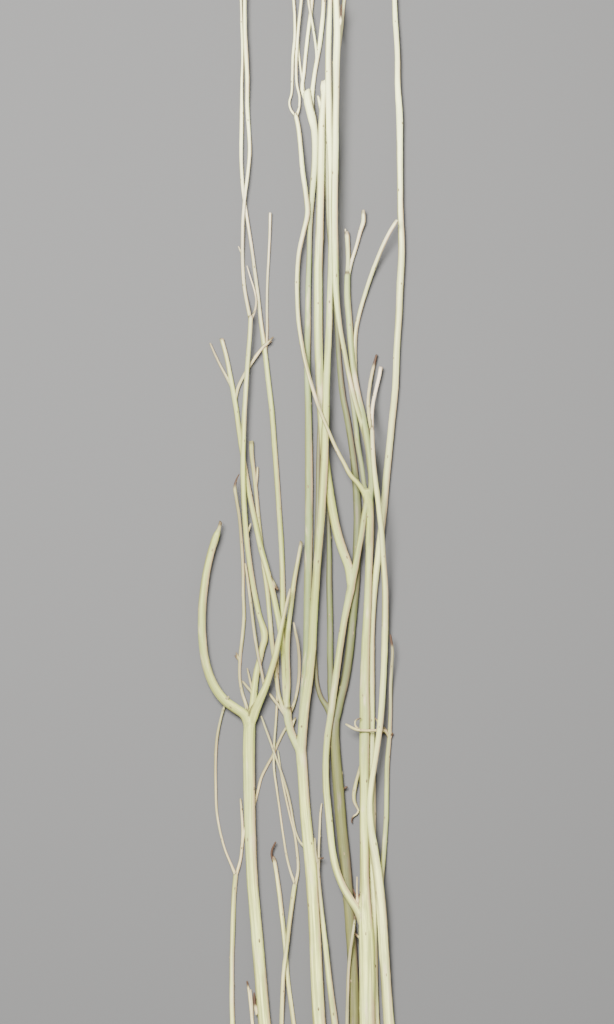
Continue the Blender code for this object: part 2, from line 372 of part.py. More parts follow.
def laid_strands():
    # Each strand's facets with the height of its axis: x, y, radius, z
    lines = {}
    fine = []
    for stem, name, parent, rise, route in STRANDS:
        line = smooth_route(route, RING_SPACING)
        sample, places, along = refined(line, SAMPLE_SPACING)
        thickest = 2 * line[:, 2].max()
        sides = THICK_SIDES if thickest > THICK_STEM else THIN_SIDES
        reach = max(LEAST_REACH, STIFFNESS * thickest)
        lower = []
        for other_stem, other_name, other_sample, other_places, other_sides in fine:
            if other_name == parent:
                # Near its root, the branch is part of its parent
                root = sample[0, :2]
                off = np.hypot(other_sample[:, 0] - root[0], other_sample[:, 1] - root[1])
                other_sample = other_sample[off > 2 * JOIN_LENGTH]
            elif other_stem == stem:
                root = other_sample[0, :2]
                shared = np.hypot(sample[:, 0] - root[0], sample[:, 1] - root[1]).min()
                if shared < JOIN_LENGTH:
                    other_sample = other_sample[other_places > 2 * JOIN_LENGTH]
            if len(other_sample):
                lower.append((other_sample, other_sides))
        need = height_over(sample, sides, lower)
        height = eased(need, places, reach)
        height += rise * (places / places[-1]) ** 2
        if parent:
            base = lines[parent]
            off = np.hypot(base[:, 0] - sample[0, 0], base[:, 1] - sample[0, 1])
            near = np.argsort(off)[:2]
            share = off[near[::-1]] / off[near].sum()
            root_height = float((base[near, 3] * share).sum())
            ease = np.clip(places / JOIN_LENGTH, 0, 1)
            ease = ease * ease * (3 - 2 * ease)
            height = np.maximum(root_height + (height - root_height) * ease, sample[:, 2])
        z = np.interp(along, places, height)
        lines[name] = np.column_stack([line, z])
        sample = np.column_stack([sample, np.interp(places, along, z)])
        fine.append((stem, name, sample, places, sides))
    return lines


def tube(line, sides):
    # A closed tube of flat facets with a flat side down, a level cut root and a blunt tip
    corner = 1 / math.cos(math.pi / sides)
    centres = np.column_stack([line[:, 0], line[:, 1], line[:, 3]])
    radii = line[:, 2].copy()
    ahead = np.gradient(centres, axis=0)
    ahead /= np.linalg.norm(ahead, axis=1)[:, None]
    side = np.cross(ahead, (0, 0, 1))
    side /= np.linalg.norm(side, axis=1)[:, None]
    up = np.cross(side, ahead)
    start = math.pi / 2 - math.pi / sides
    verts = []
    for k in range(len(line)):
        for j in range(sides):
            a = start + 2 * math.pi * j / sides
            point = centres[k] + radii[k] * corner * (math.cos(a) * side[k] + math.sin(a) * up[k])
            verts.append(tuple(point))
    faces = [tuple(range(sides))]
    for k in range(len(line) - 1):
        for j in range(sides):
            i = (j + 1) % sides
            faces.append((k * sides + j, (k + 1) * sides + j, (k + 1) * sides + i, k * sides + i))
    last = (len(line) - 1) * sides
    faces.append(tuple(last + j for j in reversed(range(sides))))
    return verts, faces


def strand_object(name, line):
    sides = THICK_SIDES if 2 * line[:, 2].max() > THICK_STEM else THIN_SIDES
    verts, faces = tube(line, sides)
    mesh = bpy.data.meshes.new(name)
    mesh.from_pydata(verts, [], faces)
    mesh.validate()
    mesh.update()
    thing = bpy.data.objects.new(name, mesh)
    bpy.context.scene.collection.objects.link(thing)
    return thing


def wood_material(name, colour):
    material = bpy.data.materials.new(name)
    material.use_nodes = True
    shader = material.node_tree.nodes["Principled BSDF"]
    shader.inputs["Base Color"].default_value = (*colour, 1)
    shader.inputs["Roughness"].default_value = 0.7
    shader.inputs["Metallic"].default_value = 0.0
    return material


def grown_stem(stem, lines):
    # The main stem with its branches, joined to one solid
    names = [name for owner, name, *_ in STRANDS if owner == stem]
    trunk = strand_object(stem, lines[names[0]])
    branches = [strand_object(name, lines[name]) for name in names[1:]]
    if branches:
        group = bpy.data.collections.new(stem + "_branches")
        bpy.context.scene.collection.children.link(group)
        for branch in branches:
            group.objects.link(branch)
            bpy.context.scene.collection.objects.unlink(branch)
        union = trunk.modifiers.new("branches", "BOOLEAN")
        union.operation = "UNION"
        union.operand_type = "COLLECTION"
        union.collection = group
        union.solver = "MANIFOLD"
        bpy.context.view_layer.update()
        evaluated = trunk.evaluated_get(bpy.context.evaluated_depsgraph_get())
        joined = bpy.data.meshes.new_from_object(evaluated)
        trunk.modifiers.clear()
        trunk.data = joined
        for branch in branches:
            bpy.data.objects.remove(branch, do_unlink=True)
        bpy.data.collections.remove(group)
    colour = SHADED_WOOD if stem == "shaded_stem" else WOOD
    trunk.data.materials.clear()
    trunk.data.materials.append(wood_material(stem + "_wood", colour))
    return trunk


clear_scene()
laid = laid_strands()
for stem_name in dict.fromkeys(owner for owner, *_ in STRANDS):
    grown_stem(stem_name, laid)
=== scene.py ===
# A loose bunch of peeled, bleached willow stems, cut and laid down flat on a floor.
# Metres, +Z up, tips towards +Y. Each stem with its branches is one grown piece of wood.
import math

import bpy
import mathutils
import numpy as np
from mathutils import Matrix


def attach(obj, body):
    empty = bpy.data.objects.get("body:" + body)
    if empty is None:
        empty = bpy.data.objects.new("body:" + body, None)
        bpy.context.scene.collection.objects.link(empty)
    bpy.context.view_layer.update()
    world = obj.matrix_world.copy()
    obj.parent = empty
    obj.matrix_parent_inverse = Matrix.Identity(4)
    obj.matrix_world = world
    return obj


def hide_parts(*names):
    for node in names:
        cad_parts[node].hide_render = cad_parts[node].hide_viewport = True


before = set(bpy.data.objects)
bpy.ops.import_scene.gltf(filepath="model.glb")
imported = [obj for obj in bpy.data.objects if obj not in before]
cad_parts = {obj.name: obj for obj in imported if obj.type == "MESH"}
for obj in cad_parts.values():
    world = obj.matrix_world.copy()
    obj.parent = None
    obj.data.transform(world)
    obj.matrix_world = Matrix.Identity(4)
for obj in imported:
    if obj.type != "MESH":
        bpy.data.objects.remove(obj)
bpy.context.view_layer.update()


# Outer right stem: the long single stem on the far right, which runs down behind the crowned one.
# It is peeled, bleached willow. Its bark is stripped, and only the scars of its buds are left.
# A circle is swept along its measured route, over the stems that were laid before it.
SHEET_STEP = 0.0012        # one step of the layout sheet, in metres
SHEET_MIDDLE_X = 301.338   # the step of the sheet that lies over X = 0
SHEET_MIDDLE_Y = 502.221   # the step of the sheet that lies over Y = 0
FACET = 0.025              # the spacing at which the lie over the other stems is worked out
SAMPLE = 0.005             # the spacing at which the gap to the other stems is tested
RING = 0.0032              # the spacing of the rings of the finished wood
JOIN = 0.040               # a branch is free of its parent stem this far from its root
THICK = 0.0085             # a strand thicker than this counts as eight-sided, and others as six-sided
CROSSING_GAP = 0.0007      # the gap where one strand lies over another
SIDE_GAP = 0.0010          # the gap at which two strands side by side pass clear of each other
ARCH = 0.040               # a strand rises to a crossing and sinks behind it within this length
ARCH_WIDTHS = 7            # or within this many of its widths, if that is longer
stations = {}              # strand name: x, y, radius and height at each facet
tested = []                # stem, strand, samples, places along it and sides, in laying order
strands = {}               # stem: each strand's name, parent, route, browning, and tone with painted shade
stem_of = {}               # strand name: its stem


def cubic_shares(t):
    # The shares of two neighbouring values and their slopes at t, from 0 to 1 between them
    return 2 * t**3 - 3 * t**2 + 1, t**3 - 2 * t**2 + t, 3 * t**2 - 2 * t**3, t**3 - t**2


def measured(line):
    # The length of each run of a line in plan, and the distance along it of each of its points
    runs = np.hypot(np.diff(line[:, 0]), np.diff(line[:, 1]))
    return runs, np.concatenate([[0], np.cumsum(runs)])


def smooth_route(points, spacing):
    # A cubic curve through the route's points, read at even steps: x, y and radius in metres
    steps = np.array(points, dtype=float)
    route = np.empty_like(steps)
    route[:, 0] = (steps[:, 0] - SHEET_MIDDLE_X) * SHEET_STEP
    route[:, 1] = (SHEET_MIDDLE_Y - steps[:, 1]) * SHEET_STEP
    route[:, 2] = steps[:, 2] * SHEET_STEP / 2
    runs, along = measured(route)
    slope = np.gradient(route, along, axis=0)
    count = max(2, int(round(along[-1] / spacing)))
    out = []
    for place in np.linspace(0, along[-1], count + 1):
        i = min(int(np.searchsorted(along, place, side="right")) - 1, len(runs) - 1)
        h = runs[i]
        a, b, c, d = cubic_shares((place - along[i]) / h)
        out.append(a * route[i] + b * h * slope[i] + c * route[i + 1] + d * h * slope[i + 1])
    return np.array(out)


def stacking_height(apart, eight, six):
    # How far one flat-sided stem's axis stands above another's, this far apart in plan
    beside = apart - math.tan(math.pi / 8) * eight - math.tan(math.pi / 6) * six
    bevel = (2 - math.sqrt(2)) * eight
    drop = np.clip(beside, 0, bevel) + math.sqrt(3) * np.clip(beside - bevel, 0, None)
    clear = apart > eight + six / math.cos(math.pi / 6) + SIDE_GAP
    return np.where(clear, -np.inf, eight + six - drop)


def height_over(sample, sides, lower):
    # How high each sample's axis must be to clear the stems laid before it, or its radius
    need = sample[:, 2].copy()
    for line, line_sides in lower:
        apart = np.hypot(
            sample[:, 0][:, None] - line[None, :, 0], sample[:, 1][:, None] - line[None, :, 1]
        )
        eight = np.full(apart.shape, CROSSING_GAP)
        six = np.zeros(apart.shape)
        for radius, count in ((sample[:, 2][:, None], sides), (line[None, :, 2], line_sides)):
            if count == 8:
                eight += radius
            else:
                six += radius
        top = line[None, :, 3] + stacking_height(apart, eight, six)
        need = np.maximum(need, top.max(1))
    return need


def root_height(parent, x, y):
    # The height of the parent's axis beside a point, between its two nearest stations
    base = stations[parent]
    off = np.hypot(base[:, 0] - x, base[:, 1] - y)
    near = np.argsort(off)[:2]
    return float((base[near, 3] * off[near[::-1]]).sum() / off[near].sum())


def keep_strand(name, stem, parent, line, z, route, browned, tone_and_shade):
    # Notes a strand and the height of its axis
    stem_of[name] = stem
    stations[name] = np.column_stack([line, z])
    strands.setdefault(stem, []).append((name, parent, route, browned, tone_and_shade))


def lay(name, source, rise, route, browned=0.25, tone_and_shade=None):
    # Lays one strand over those before it. It grows from its source, a strand, and a trunk's
    # source is the whole stem's name. Its far end rises by rise. A point of its route is a
    # place across and down the sheet, and the strand's width there, in steps. Browned is how
    # dried its tip is. Tone makes the strand duller above 0 and whiter below; the duller tone is
    # partly the strand's own and partly painted shade for strands that lie behind others
    parent = source if source in stem_of else None
    stem = stem_of.get(source, source)
    line = smooth_route(route, FACET)
    along = measured(line)[1]
    places = np.linspace(0, along[-1], max(2, int(along[-1] / SAMPLE)) + 1)
    sample = np.stack([np.interp(places, along, line[:, k]) for k in range(3)], 1)
    thickest = 2 * line[:, 2].max()
    sides = 8 if thickest > THICK else 6
    reach = max(ARCH, ARCH_WIDTHS * thickest)
    lower = []
    for other_stem, other_name, other_sample, other_places, other_sides in tested:
        if other_name == parent:
            off = np.hypot(other_sample[:, 0] - sample[0, 0], other_sample[:, 1] - sample[0, 1])
            other_sample = other_sample[off > 2 * JOIN]
        elif other_stem == stem:
            root = other_sample[0, :2]
            if np.hypot(sample[:, 0] - root[0], sample[:, 1] - root[1]).min() < JOIN:
                other_sample = other_sample[other_places > 2 * JOIN]
        if len(other_sample):
            lower.append((other_sample, other_sides))
    need = height_over(sample, sides, lower)
    apart = np.abs(places[:, None] - places[None, :])
    highest = np.where(apart <= reach, need[None, :], -1).max(1)
    weight = np.where(apart <= reach, 1 + np.cos(np.pi * apart / reach), 0)
    height = (weight * highest[None, :]).sum(1) / weight.sum(1)
    height += rise * (places / places[-1]) ** 2
    if parent:
        root_z = root_height(parent, sample[0, 0], sample[0, 1])
        ease = np.clip(places / JOIN, 0, 1)
        ease = ease * ease * (3 - 2 * ease)
        height = np.maximum(root_z + (height - root_z) * ease, sample[:, 2])
    z = np.interp(along, places, height)
    keep_strand(name, stem, parent, line, z, route, browned, tone_and_shade)
    tested.append((stem, name, np.column_stack([sample, np.interp(places, along, z)]), places, sides))


lay("outer_right", "outer_right_stem", 0.010, [
    (379, 1104, 8.5), (376, 1040, 8.2), (374, 980, 8), (373, 920, 8), (371.5, 860, 7.5), (372.5, 810, 7),
    (371.3, 750, 7), (371, 690, 7.4), (371, 635, 7.4), (374.5, 585, 6.8), (379, 550, 6.6),
    (383.5, 510, 6.8), (387, 470, 7), (391, 430, 6.6), (395, 390, 6.4), (397, 345, 6.4), (399.3, 300, 6.8),
    (401.3, 250, 6.8), (400, 200, 5.8), (399.6, 150, 6.2), (399, 110, 6.4), (397.5, 85, 5.6),
    (397, 50, 5.2), (394.5, 10, 5), (393, -30, 4), (394, -75, 2.8), (392, -108, 1.6)], tone_and_shade=-0.35)

FIRST_NODE = (0.016, 0.034)    # how far from the root the first node of a strand is
ROOT_EXTRA = 0.012             # and how much farther on a branch
NODE_SPACING = (0.026, 0.052)  # from one node to the next
NODE_LENGTH = 0.0034           # half the length of the swelling at a node
CUT_TIP = 0.0016               # a tip of this radius or more is snapped or cut, not grown to a point
SINK = 0.20                    # how much thinner a branch starts, so that its root shows no ring
SINK_LENGTH = 0.005            # and the length within which it gets its whole thickness
NODE_BEND = 0.0005             # how far the wood bends aside at a node at most
NODE_BEND_SHARE = 0.16         # and as a share of its radius, if that is less
STIFF_RADIUS = 0.0045          # wood bends less at its nodes the thicker it is, against this radius
CLEAR_SHARE = 0.99             # the wood is this much of its measured radius, to clear its neighbours
FLOOR_SHARE = 1.03             # and its axis lies at least this many radii above the floor
NODE_SHIFT = 0.0008            # how far past the node the middle of its swelling is
NODE_SWELL = 0.012             # how much thicker thick wood is at a node, as a share of its radius
THIN_SWELL = 0.075             # how much is added to that on thin wood
SWELL_RADIUS = 0.0024          # and the radius against which wood counts as thin there
# How each kind of tip ends: the distance from the end in tip radii, and the share of the radius
BURIED_END = ((1.9, 1.0), (1.35, 0.95), (0.9, 0.85), (0.5, 0.68), (0.2, 0.42), (0.05, 0.2))
CUT_END = ((0.9, 1.0), (0.24, 0.99), (0.06, 0.90), (0.02, 0.50), (0.0, 0.08))
GROWN_END = ((0.9, 1.0), (0.55, 0.93), (0.25, 0.72), (0.05, 0.34))


def read_between(values, places):
    # A smooth reading of evenly spaced values at places from 0 to 1
    place = places * (len(values) - 1)
    i = np.minimum(place.astype(int), len(values) - 2)
    a, b, c, d = cubic_shares(place - i)
    slope = np.gradient(values)
    return a * values[i] + b * slope[i] + c * values[i + 1] + d * slope[i + 1]


def wood_line(name, parent, route, buried, rng):
    # The rings of one strand: x, y, z, radius, with swollen nodes, a worn tip and a cut root
    line = smooth_route(route, RING)
    z = read_between(stations[name][:, 3], np.linspace(0, 1, len(line)))
    along = measured(line)[1]
    radius = line[:, 2].copy()
    nodes = []
    place = rng.uniform(*FIRST_NODE) + (ROOT_EXTRA if parent else 0)
    while place < along[-1] - 0.010:
        nodes.append(place)
        place += rng.uniform(*NODE_SPACING)
    ahead = np.gradient(line[:, :2], along, axis=0)
    sideways = np.column_stack([ahead[:, 1], -ahead[:, 0]]) / np.hypot(*ahead.T)[:, None]
    if nodes:
        # The stem bends a little at each node, to one side and then to the other
        knots = [0.0] + nodes + [along[-1]]
        sway = [0.0] + [(-1) ** k * rng.uniform(0.2, 1.0) for k in range(len(nodes))] + [0.0]
        amount = np.interp(along, knots, sway) * np.minimum(NODE_BEND, NODE_BEND_SHARE * radius)
        line[:, :2] += sideways * (amount * np.exp(-radius / STIFF_RADIUS))[:, None]
        for node in nodes:
            swell = NODE_SWELL + THIN_SWELL * np.exp(-radius / SWELL_RADIUS)
            beside = (along - node - NODE_SHIFT) / NODE_LENGTH
            radius = radius * (1 + swell * np.exp(-(beside ** 2)))
    radius *= CLEAR_SHARE
    z = np.maximum(z, FLOOR_SHARE * radius)
    full = np.column_stack([line[:, :2], z, radius])
    tip = full[-1, 3]
    places = list(along[along < along[-1] - (2.2 if buried else 1.1) * tip])
    scale = [1.0] * len(places)
    # Where its own branches carry on, a strand narrows inside them
    for back, part in BURIED_END if buried else CUT_END if tip > CUT_TIP else GROWN_END:
        places.append(along[-1] - back * tip)
        scale.append(part)
    if not parent:
        places[0:1] = [0.0, 0.00003, 0.00006, 0.0005]
        scale[0:1] = [0.06, 0.5, 0.93, 1.0]
    places = np.array(places)
    if parent:
        scale = np.array(scale) * (1 - SINK * np.exp(-((places / SINK_LENGTH) ** 2)))
    rings = np.stack([np.interp(places, along, full[:, k]) for k in range(4)], 1)
    rings[:, 3] *= scale
    return rings, places, nodes


def add_node(tree, kind, constants=None, **settings):
    # A node with its settings and the constants on its sockets
    made = tree.nodes.new(kind)
    for key, value in settings.items():
        setattr(made, key, value)
    for socket, value in (constants or {}).items():
        made.inputs[socket].default_value = value
    return made


def link_all(tree, links):
    # Each link is a node and its output, and the node and the input that it leads to
    for source, output, target, socket in links:
        tree.links.new(source.outputs[output], target.inputs[socket])


def add_socket(tree, label, kind, way="INPUT"):
    return tree.interface.new_socket(label, in_out=way, socket_type="NodeSocket" + kind)


# The tree that sweeps a strand: a line with a radius in, a closed limb out. Noise that is
# stretched along the stems raises its fine ridges
sweep = bpy.data.node_groups.new("swept_strand", "GeometryNodeTree")
add_socket(sweep, "Geometry", "Geometry")
sides_in = add_socket(sweep, "Sides", "Int")
ridge_in = add_socket(sweep, "Ridge height", "Float")
wood_in = add_socket(sweep, "Wood", "Material")
add_socket(sweep, "Geometry", "Geometry", "OUTPUT")
entry = add_node(sweep, "NodeGroupInput")
leave = add_node(sweep, "NodeGroupOutput")
as_curve = add_node(sweep, "GeometryNodeMeshToCurve")
upright = add_node(sweep, "GeometryNodeSetCurveNormal", mode="Z_UP")
profile = add_node(sweep, "GeometryNodeCurvePrimitiveCircle", {"Radius": 1.0})
thickness = add_node(
    sweep, "GeometryNodeInputNamedAttribute", {"Name": "ring_radius"}, data_type="FLOAT"
)
swept = add_node(sweep, "GeometryNodeCurveToMesh", {"Fill Caps": True})
position = add_node(sweep, "GeometryNodeInputPosition")
stretch = add_node(sweep, "ShaderNodeVectorMath", {1: (520, 34, 520)}, operation="MULTIPLY")
ridges = add_node(sweep, "ShaderNodeTexNoise", {"Scale": 1.0, "Detail": 2.0})
centred = add_node(sweep, "ShaderNodeMath", {1: 0.55}, operation="SUBTRACT")
height = add_node(sweep, "ShaderNodeMath", operation="MULTIPLY")
share = add_node(sweep, "ShaderNodeMath", operation="MULTIPLY")
normal = add_node(sweep, "GeometryNodeInputNormal")
push = add_node(sweep, "ShaderNodeVectorMath", operation="SCALE")
ridged = add_node(sweep, "GeometryNodeSetPosition")
smooth = add_node(sweep, "GeometryNodeSetShadeSmooth")
real = add_node(sweep, "GeometryNodeRealizeInstances")
painted = add_node(sweep, "GeometryNodeSetMaterial")
link_all(sweep, (
    (entry, "Geometry", as_curve, "Mesh"),
    (as_curve, "Curve", upright, "Curve"),
    (entry, "Sides", profile, "Resolution"),
    (upright, "Curve", swept, "Curve"),
    (profile, "Curve", swept, "Profile Curve"),
    (thickness, "Attribute", swept, "Scale"),
    (position, "Position", stretch, 0),
    (stretch, 0, ridges, "Vector"),
    (ridges, "Fac", centred, 0),
    (centred, 0, height, 0),
    (thickness, "Attribute", height, 1),
    (height, 0, share, 0),
    (entry, "Ridge height", share, 1),
    (normal, "Normal", push, 0),
    (share, 0, push, "Scale"),
    (swept, "Mesh", ridged, "Geometry"),
    (push, 0, ridged, "Offset"),
    (ridged, "Geometry", smooth, "Geometry"),
    (smooth, "Geometry", real, "Geometry"),
    (real, "Geometry", painted, "Geometry"),
    (entry, "Wood", painted, "Material"),
    (painted, "Geometry", leave, "Geometry"),
))


def add_object(name, data):
    made = bpy.data.objects.new(name, data)
    bpy.context.scene.collection.objects.link(made)
    return made


def make_plain(thing):
    # Replaces an object's mesh and modifiers by the mesh that they make
    bpy.context.view_layer.update()
    evaluated = thing.evaluated_get(bpy.context.evaluated_depsgraph_get())
    made = bpy.data.meshes.new_from_object(evaluated)
    thing.modifiers.clear()
    thing.data = made


def read_points(mesh, field="co"):
    # The place of each point of a mesh, or another vector of each, in rows
    values = np.empty(len(mesh.vertices) * 3)
    mesh.vertices.foreach_get(field, values)
    return values.reshape(-1, 3)


def note_points(mesh, label, values):
    # A named attribute with a number or a vector for each point of a mesh
    kind, field = ("FLOAT_VECTOR", "vector") if values.ndim == 2 else ("FLOAT", "value")
    mesh.attributes.new(label, kind, "POINT").data.foreach_set(field, values.ravel())


RIDGE_HEIGHT = 0.15            # the height of the fine ridges along the wood, in radii
SIDES_RANGE = (9, 20)          # how many sides a finished strand has, the thinnest and the thickest
SIDES_PER_METRE = 1300         # and how many it gains for each metre of its radius


def swept_strand(name, rings, wood):
    # One strand swept by the tree, as an object with a plain mesh
    line = bpy.data.meshes.new(name + "_line")
    line.from_pydata([tuple(p) for p in rings[:, :3]], [(k, k + 1) for k in range(len(rings) - 1)], [])
    note_points(line, "ring_radius", rings[:, 3])
    thing = add_object(name, line)
    sides = int(np.clip(8 + SIDES_PER_METRE * rings[:, 3].max(), *SIDES_RANGE))
    modifier = thing.modifiers.new("sweep", "NODES")
    modifier.node_group = sweep
    modifier[sides_in.identifier] = sides
    modifier[ridge_in.identifier] = RIDGE_HEIGHT
    modifier[wood_in.identifier] = wood
    make_plain(thing)
    bpy.data.meshes.remove(line)
    return thing, sides


BURIED_REACH = 14     # a strand that ends this near to a branch's root, in steps, ends inside it
TIP_SLANT = 0.75      # the steepest slant of a snapped tip
ROOT_SLANT = 0.6      # the steepest slant of a cut root
THIN_RADIUS = 0.0031  # wood below this radius starts to take the tint of a thin twig
THIN_RANGE = 0.0012   # and has all of it when it is this much thinner still
SCAR_TURN = 2.4       # the turn round the stem from one bud scar to the next, in radians
SCAR_HEIGHT = 0.93    # where a scar's middle sits, in radii
scars = []            # the place, outward direction, stem direction and size of each bud scar


def grow(stem, wood, seed):
    # Sweeps the stem's strands, makes them one wood with noted grain, and marks the bud scars.
    # The joining and the webs of the forks stand with the shaded stem, the first that forks
    rng = np.random.default_rng(seed)
    lines = {}
    things = []
    surface = []
    notes = []
    grain_places = {}
    for name, parent, route, browned, tone_and_shade in strands[stem]:
        end = np.array(route[-1][:2])
        roots = [np.array(other[2][0][:2]) for other in strands[stem] if other[1] == name]
        buried = any(np.linalg.norm(end - root) < BURIED_REACH for root in roots)
        rings, places, nodes = wood_line(name, parent, route, buried, rng)
        lines[name] = (parent, rings)
        thing, sides = swept_strand(name, rings, wood)
        things.append(thing)
        verts = read_points(thing.data)
        ring = np.arange(len(verts)) // sides
        ahead = np.gradient(rings[:, :3], axis=0)
        ahead /= np.linalg.norm(ahead, axis=1)[:, None]
        side = np.cross(ahead, (0, 0, 1))
        side /= np.linalg.norm(side, axis=1)[:, None]
        up = np.cross(side, ahead)
        off = verts - rings[ring, :3]
        across = (off * side[ring]).sum(1)
        above = (off * up[ring]).sum(1)
        # A snapped tip and a cut root are slanted, not square
        snapped = rings[-6, 3] > CUT_TIP and browned > 0 and not buried
        lean = rng.uniform(-TIP_SLANT, TIP_SLANT, 2) * snapped
        last = ring >= len(rings) - 4
        verts[last] += ahead[-1] * (across * lean[0] + above * lean[1])[last, None]
        if parent:
            base = lines[parent][1]
            nearest = np.linalg.norm(base[:, :3] - rings[0, :3], axis=1).argmin()
            shift = grain_places[parent][nearest]
        else:
            lean = rng.uniform(-ROOT_SLANT, ROOT_SLANT, 2)
            first = ring < 4
            verts[first] += ahead[0] * (across * lean[0] + above * lean[1])[first, None]
            shift = rng.uniform(0, 3)
        thing.data.vertices.foreach_set("co", verts.ravel())
        grain_places[name] = places + shift
        # A strand with no tone given gets a random one; a given dull one is partly painted shade for a
        # strand that lies behind others
        tone_and_shade = rng.uniform(0, 0.5) if tone_and_shade is None else tone_and_shade
        radial = np.linalg.norm(off, axis=1) / np.interp(0.0005, places, rings[:, 3])
        cut = (places[ring] < 0.0003) & (parent is None)
        # A dry tip is browned over its last millimetres, and farther the browner it is
        tip = np.clip(1.6 - (places[-1] - places[ring]) / (0.003 + 0.010 * browned**2), 0, 1)
        surface.append(verts)
        notes.append(np.column_stack([
            across, above, places[ring] + shift, np.full(len(verts), tone_and_shade),
            np.where(cut, 1 - radial, -1), tip * min(browned, 1),
            across / np.maximum(rings[ring, 3], 0.0003),
            np.clip((THIN_RADIUS - rings[ring, 3]) / THIN_RANGE, 0, 1),
        ]))
        for count, node in enumerate(nodes):
            k = int(np.searchsorted(places, node).clip(1, len(places) - 2))
            turn = SCAR_TURN * count + 6.28 * tone_and_shade
            outward = math.cos(turn) * side[k] + math.sin(turn) * up[k]
            spot = rings[k, :3] + SCAR_HEIGHT * rings[k, 3] * outward
            if spot[2] > 0.0008:
                scars.append((spot, outward, ahead[k], rings[k, 3]))
    trunk = things[0]
    forked = len(things) > 1
    if forked:
        join_strands(stem, things)
    mesh = trunk.data
    surface = np.concatenate(surface)
    tree = mathutils.kdtree.KDTree(len(surface))
    for i, point in enumerate(surface):
        tree.insert(point, i)
    tree.balance()
    notes = np.concatenate(notes)[[tree.find(point)[1] for point in read_points(mesh)]]
    crotch_shade = web_forks(mesh, lines) if forked else np.zeros(len(mesh.vertices))
    mesh.update()
    note_points(mesh, "grain", notes[:, :3])
    for k, label in ((3, "tone_and_shade"), (4, "cut_face"), (5, "browned"), (6, "flank"), (7, "thin")):
        note_points(mesh, label, notes[:, k])
    # The crotch hollows are noted for the painted shade there
    note_points(mesh, "crotch", crotch_shade)
    mesh.materials.clear()
    mesh.materials.append(wood)
    mesh.polygons.foreach_set("use_smooth", np.ones(len(mesh.polygons), dtype=bool))
    trunk.name = stem + "_wood"
    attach(trunk, "root")
    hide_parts(stem)


YEAR_RINGS = 44.0    # seven rings from the rim of a cut face to its heart, in radians


def feed(tree, source, socket, kind, constants=None, **settings):
    # A node with one input that another node's output feeds
    made = add_node(tree, kind, constants, **settings)
    tree.links.new(source, made.inputs[socket])
    return made


